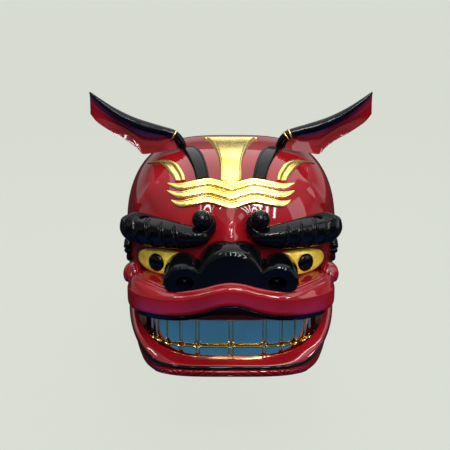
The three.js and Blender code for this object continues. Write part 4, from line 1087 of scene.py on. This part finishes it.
# Ears
EAR_STEM = (  # x, y, z, radius
    (63, 16, 269, 5.2), (66.5, 15, 277, 5.6), (71, 14, 284.5, 5.8), (78, 14, 290, 6), (90, 15, 293.5, 6),
    (104, 17, 296.5, 6.4), (119, 19, 300.5, 6.6), (134, 21, 306, 6.2), (149, 22, 313.8, 5.4),
    (163, 23, 322.8, 4.3), (177, 24.5, 333.5, 3), (189, 26, 344, 1.2),
)
EAR_BLADE = (  # top x, y, z, low x, y, z, cup
    (76, 15, 286, 69, 8, 272.2, 1), (90, 16, 292, 84, 10, 268, 4), (104, 18, 296, 103, 20, 263.5, 7),
    (119, 20, 301, 120, 25, 261, 9), (134, 22, 307, 127, 27, 268, 9), (149, 23, 314, 143, 28, 280, 8),
    (163, 24, 323, 160, 29, 289.5, 6), (177, 25, 334, 180, 30, 303, 4), (189, 26, 344, 189.5, 30, 314.5, 2),
)


def ear_blade():
    """The blade hangs from the stem as a sheet hollowed in front, with a thin rounded lower edge."""
    rows = curve(EAR_BLADE, evenly(EAR_BLADE, 100))
    share = (1 - np.cos(np.linspace(0, math.pi, 25))) / 2
    inner, outer = [], []
    for row in rows:
        top, low, cup = row[:3], row[3:6], row[6]
        away = unit(np.array((0, top[2] - low[2], low[1] - top[1])))
        bulge = cup * np.sin(math.pi * share) ** 0.8 * (1.15 - 0.6 * share)
        wall = (4.6 - 1.8 * share) * np.sqrt(np.maximum(1 - smooth_step(0.86, 1.0, share) ** 2 * 0.9, 0))
        middle = top + (low - top) * share[:, None]
        inner.append(middle + away * bulge[:, None])
        outer.append(middle + away * (bulge + wall)[:, None])
    return np.array(inner), np.array(outer)


def stem_section(place, turn, share):
    """The stem's crest is drawn up to a soft edge past the neck."""
    crest = np.exp(-(np.minimum(turn, 2 * math.pi - turn) / 0.5) ** 2)
    return place[3] * (1 + 0.10 * smooth_step(0.15, 0.4, share) * crest)


EAR_RINGS = {"left": (76,), "right": (74, 79)}  # x of each gilded ring on the stem


def ear_ring(x):
    """A thin gilded ring round the stem."""
    stem = curve(EAR_STEM, np.linspace(0, len(EAR_STEM) - 1, 400))
    place = np.argmin(np.abs(stem[:, 0] - x))
    middle, radius = stem[place, :3], stem[place, 3]
    along = unit(unit(stem[place + 4] - stem[place])[:3])
    first = unit(np.cross(along, (0, 1, 0)))
    second = np.cross(along, first)
    rings = []
    for a in np.linspace(0, 2 * math.pi, 40, endpoint=False):
        out = math.cos(a) * first + math.sin(a) * second
        rings.append([middle + out * (radius + 0.3 + 0.9 * math.cos(b)) + along * 1.1 * math.sin(b)
                      for b in np.linspace(0, 2 * math.pi, 12, endpoint=False)])
    return loft(rings + rings[:1], caps=False)


for word, side in SIDES:
    inner, outer = ear_blade()
    points, faces = closed_panel(mirrored(inner, side), mirrored(outer, side))
    body = f"ear_{word}"
    made = piece(f"ear_leaf_{word}", points, faces, BLACK, body, [body], "black_lacquer", RED, sharp=50)
    n, m = inner.shape[:2]
    inside = {i * m + j for i in range(2, n - 1) for j in range(2, m - 1)}
    for polygon in made.data.polygons:
        polygon.material_index = 1 if all(v in inside for v in polygon.vertices) else 0
    points, faces = roll(EAR_STEM, 140, 36, stem_section)
    piece(f"ear_stem_{word}", mirrored(points, side), faces, BLACK, body, slot="black_lacquer", sharp=60)
    for number, x in enumerate(EAR_RINGS[word]):
        points, faces = ear_ring(x)
        piece(f"ear_ring_{word}_{number}", mirrored(points, side), faces, GOLD, body, slot="gold_leaf")

PEG_PROFILE = (  # x, radius
    (119.5, 0.5), (119.7, 2.6), (120.4, 3.5), (121.4, 3.9), (140, 3.9), (140.5, 3.5), (141, 3.9),
    (142.2, 3.7), (143, 2.8), (143.4, 1.4), (143.5, 0.4),
)


def hinge_peg():
    """A turned pin with a domed head and a scored ring."""
    turn = np.linspace(0, 2 * math.pi, 40, endpoint=False)
    return loft([[(x, HINGE["y"] + r * math.cos(t), HINGE["z"] + r * math.sin(t)) for t in turn]
                 for x, r in PEG_PROFILE])


for word, side in SIDES:
    points, faces = hinge_peg()
    points = mirrored(points, side)
    piece(f"hinge_peg_{word}", points, faces, WOOD, "head", [f"hinge_pin_{word}"], "bare_wood")

# Stage
PALE = "#D9DDD2"
FLOOR_Z = -0.11  # low enough for the open jaw
FLOOR_REACH = 40
ground = bpy.data.meshes.new("floor")
corners = [(x * FLOOR_REACH, y * FLOOR_REACH, FLOOR_Z) for x, y in ((-1, -1), (1, -1), (1, 1), (-1, 1))]
ground.from_pydata(corners, [], [(0, 1, 2, 3)])
floor = bpy.data.objects.new("floor", ground)
bpy.context.scene.collection.objects.link(floor)
paper = bpy.data.materials.new("pale_paper")
paper.use_nodes = True
shader = paper.node_tree.nodes["Principled BSDF"]
shader.inputs["Base Color"].default_value = linear("#303130")
shader.inputs["Roughness"].default_value = 0.9
shader.inputs["Specular IOR Level"].default_value = 0.1
shader.inputs["Emission Color"].default_value = linear(PALE)
shader.inputs["Emission Strength"].default_value = 0.93
ground.materials.append(paper)
floor.visible_glossy = False
floor.visible_diffuse = False

# The studio: grey walls, a blue cloth low in front and to the sides, and a window
world = bpy.data.worlds.new("studio")
bpy.context.scene.world = world
world.use_nodes = True
tree = world.node_tree
way = node(tree, "ShaderNodeTexCoord", out="Generated")
way = node(tree, "ShaderNodeSeparateXYZ", {"Vector": way}).node.outputs
MATH, FADE = "ShaderNodeMath", "ShaderNodeMapRange"
aside = node(tree, MATH, {0: way["X"]}, operation="ABSOLUTE")
aside = node(tree, FADE, {"Value": aside, "From Min": 0.35, "From Max": 0.6})
shallow = node(tree, FADE, {"Value": way["Z"], "From Min": -0.52, "From Max": -0.44})
shallow = node(tree, MATH, {0: shallow, 1: aside}, operation="MAXIMUM")
low = node(tree, FADE, {"Value": way["Z"], "From Min": -0.26, "From Max": -0.38})
before = node(tree, FADE, {"Value": way["Y"], "From Min": 0.35, "From Max": -0.1})
cloth = node(tree, MATH, {0: low, 1: before}, operation="MULTIPLY")
cloth = node(tree, MATH, {0: cloth, 1: shallow}, operation="MULTIPLY")
GREYS = (  # level, then up to the ceiling
    (0.0, "#2C2D2F"), (0.03, "#A2A4A6"), (0.2, "#A2A4A6"), (0.32, "#6E7072"), (0.5, "#9C9EA0"), (0.9, "#C0C2C4"),
)
wall = node(tree, RAMP, {"Fac": way["Z"]}, GREYS)
CLOTH_BLUE = (0.035, 0.19, 0.8, 1)
room = node(tree, MIX, {0: cloth, 6: wall, 7: CLOTH_BLUE}, **COLOURS)
# the window stands in front, high and a little to the right, in tall panes
WINDOW = (("X", -0.14, 0.46), ("Z", 0.42, 0.8), ("Y", -0.95, -0.15))
WINDOW_LIGHT = (26, 26, 27, 1)
PANES = 8.0  # for each unit of width
pane = node(tree, MATH, {0: way["X"], 1: PANES}, operation="MULTIPLY")
pane = node(tree, MATH, {0: pane}, operation="FRACT")
BARS = ((0.0, "#000000"), (0.7, "#000000"), (0.72, "#FFFFFF"), (1.0, "#FFFFFF"))
pane = node(tree, RAMP, {"Fac": pane}, BARS)
for axis, low_end, high_end in WINDOW:
    for edge, beyond in ((low_end, low_end + 0.01), (high_end, high_end - 0.01)):
        inside = node(tree, FADE, {"Value": way[axis], "From Min": edge, "From Max": beyond})
        pane = node(tree, MIX, {0: 1.0, 6: pane, 7: inside}, **PRODUCT)
room = node(tree, MIX, {0: pane, 6: room, 7: WINDOW_LIGHT}, **COLOURS)
seen = node(tree, "ShaderNodeLightPath", out="Is Camera Ray")
room = node(tree, MIX, {0: seen, 6: room, 7: linear(PALE)}, **COLOURS)
tree.links.new(room, tree.nodes["Background"].inputs["Color"])

lamp("ceiling_softbox", (0.1, 0.45, 1.7), (0, 0.2, 0.2), (2.2, 2.4), 26)
lamp("right_softbox", (1.5, -0.7, 0.9), (0, 0, 0.18), (0.9, 1.1), 7)
lamp("small_window", (0.14, -0.95, 1.15), (0, -0.1, 0.15), (0.2, 0.1), 4)
lamp("front_tube", (0.1, -0.6, 1.45), (0, -0.1, 0.15), (1.3, 0.03), 3.5)
lamp("left_window", (-0.5, -0.9, 1.25), (0, -0.1, 0.15), (0.08, 0.16), 1.5)
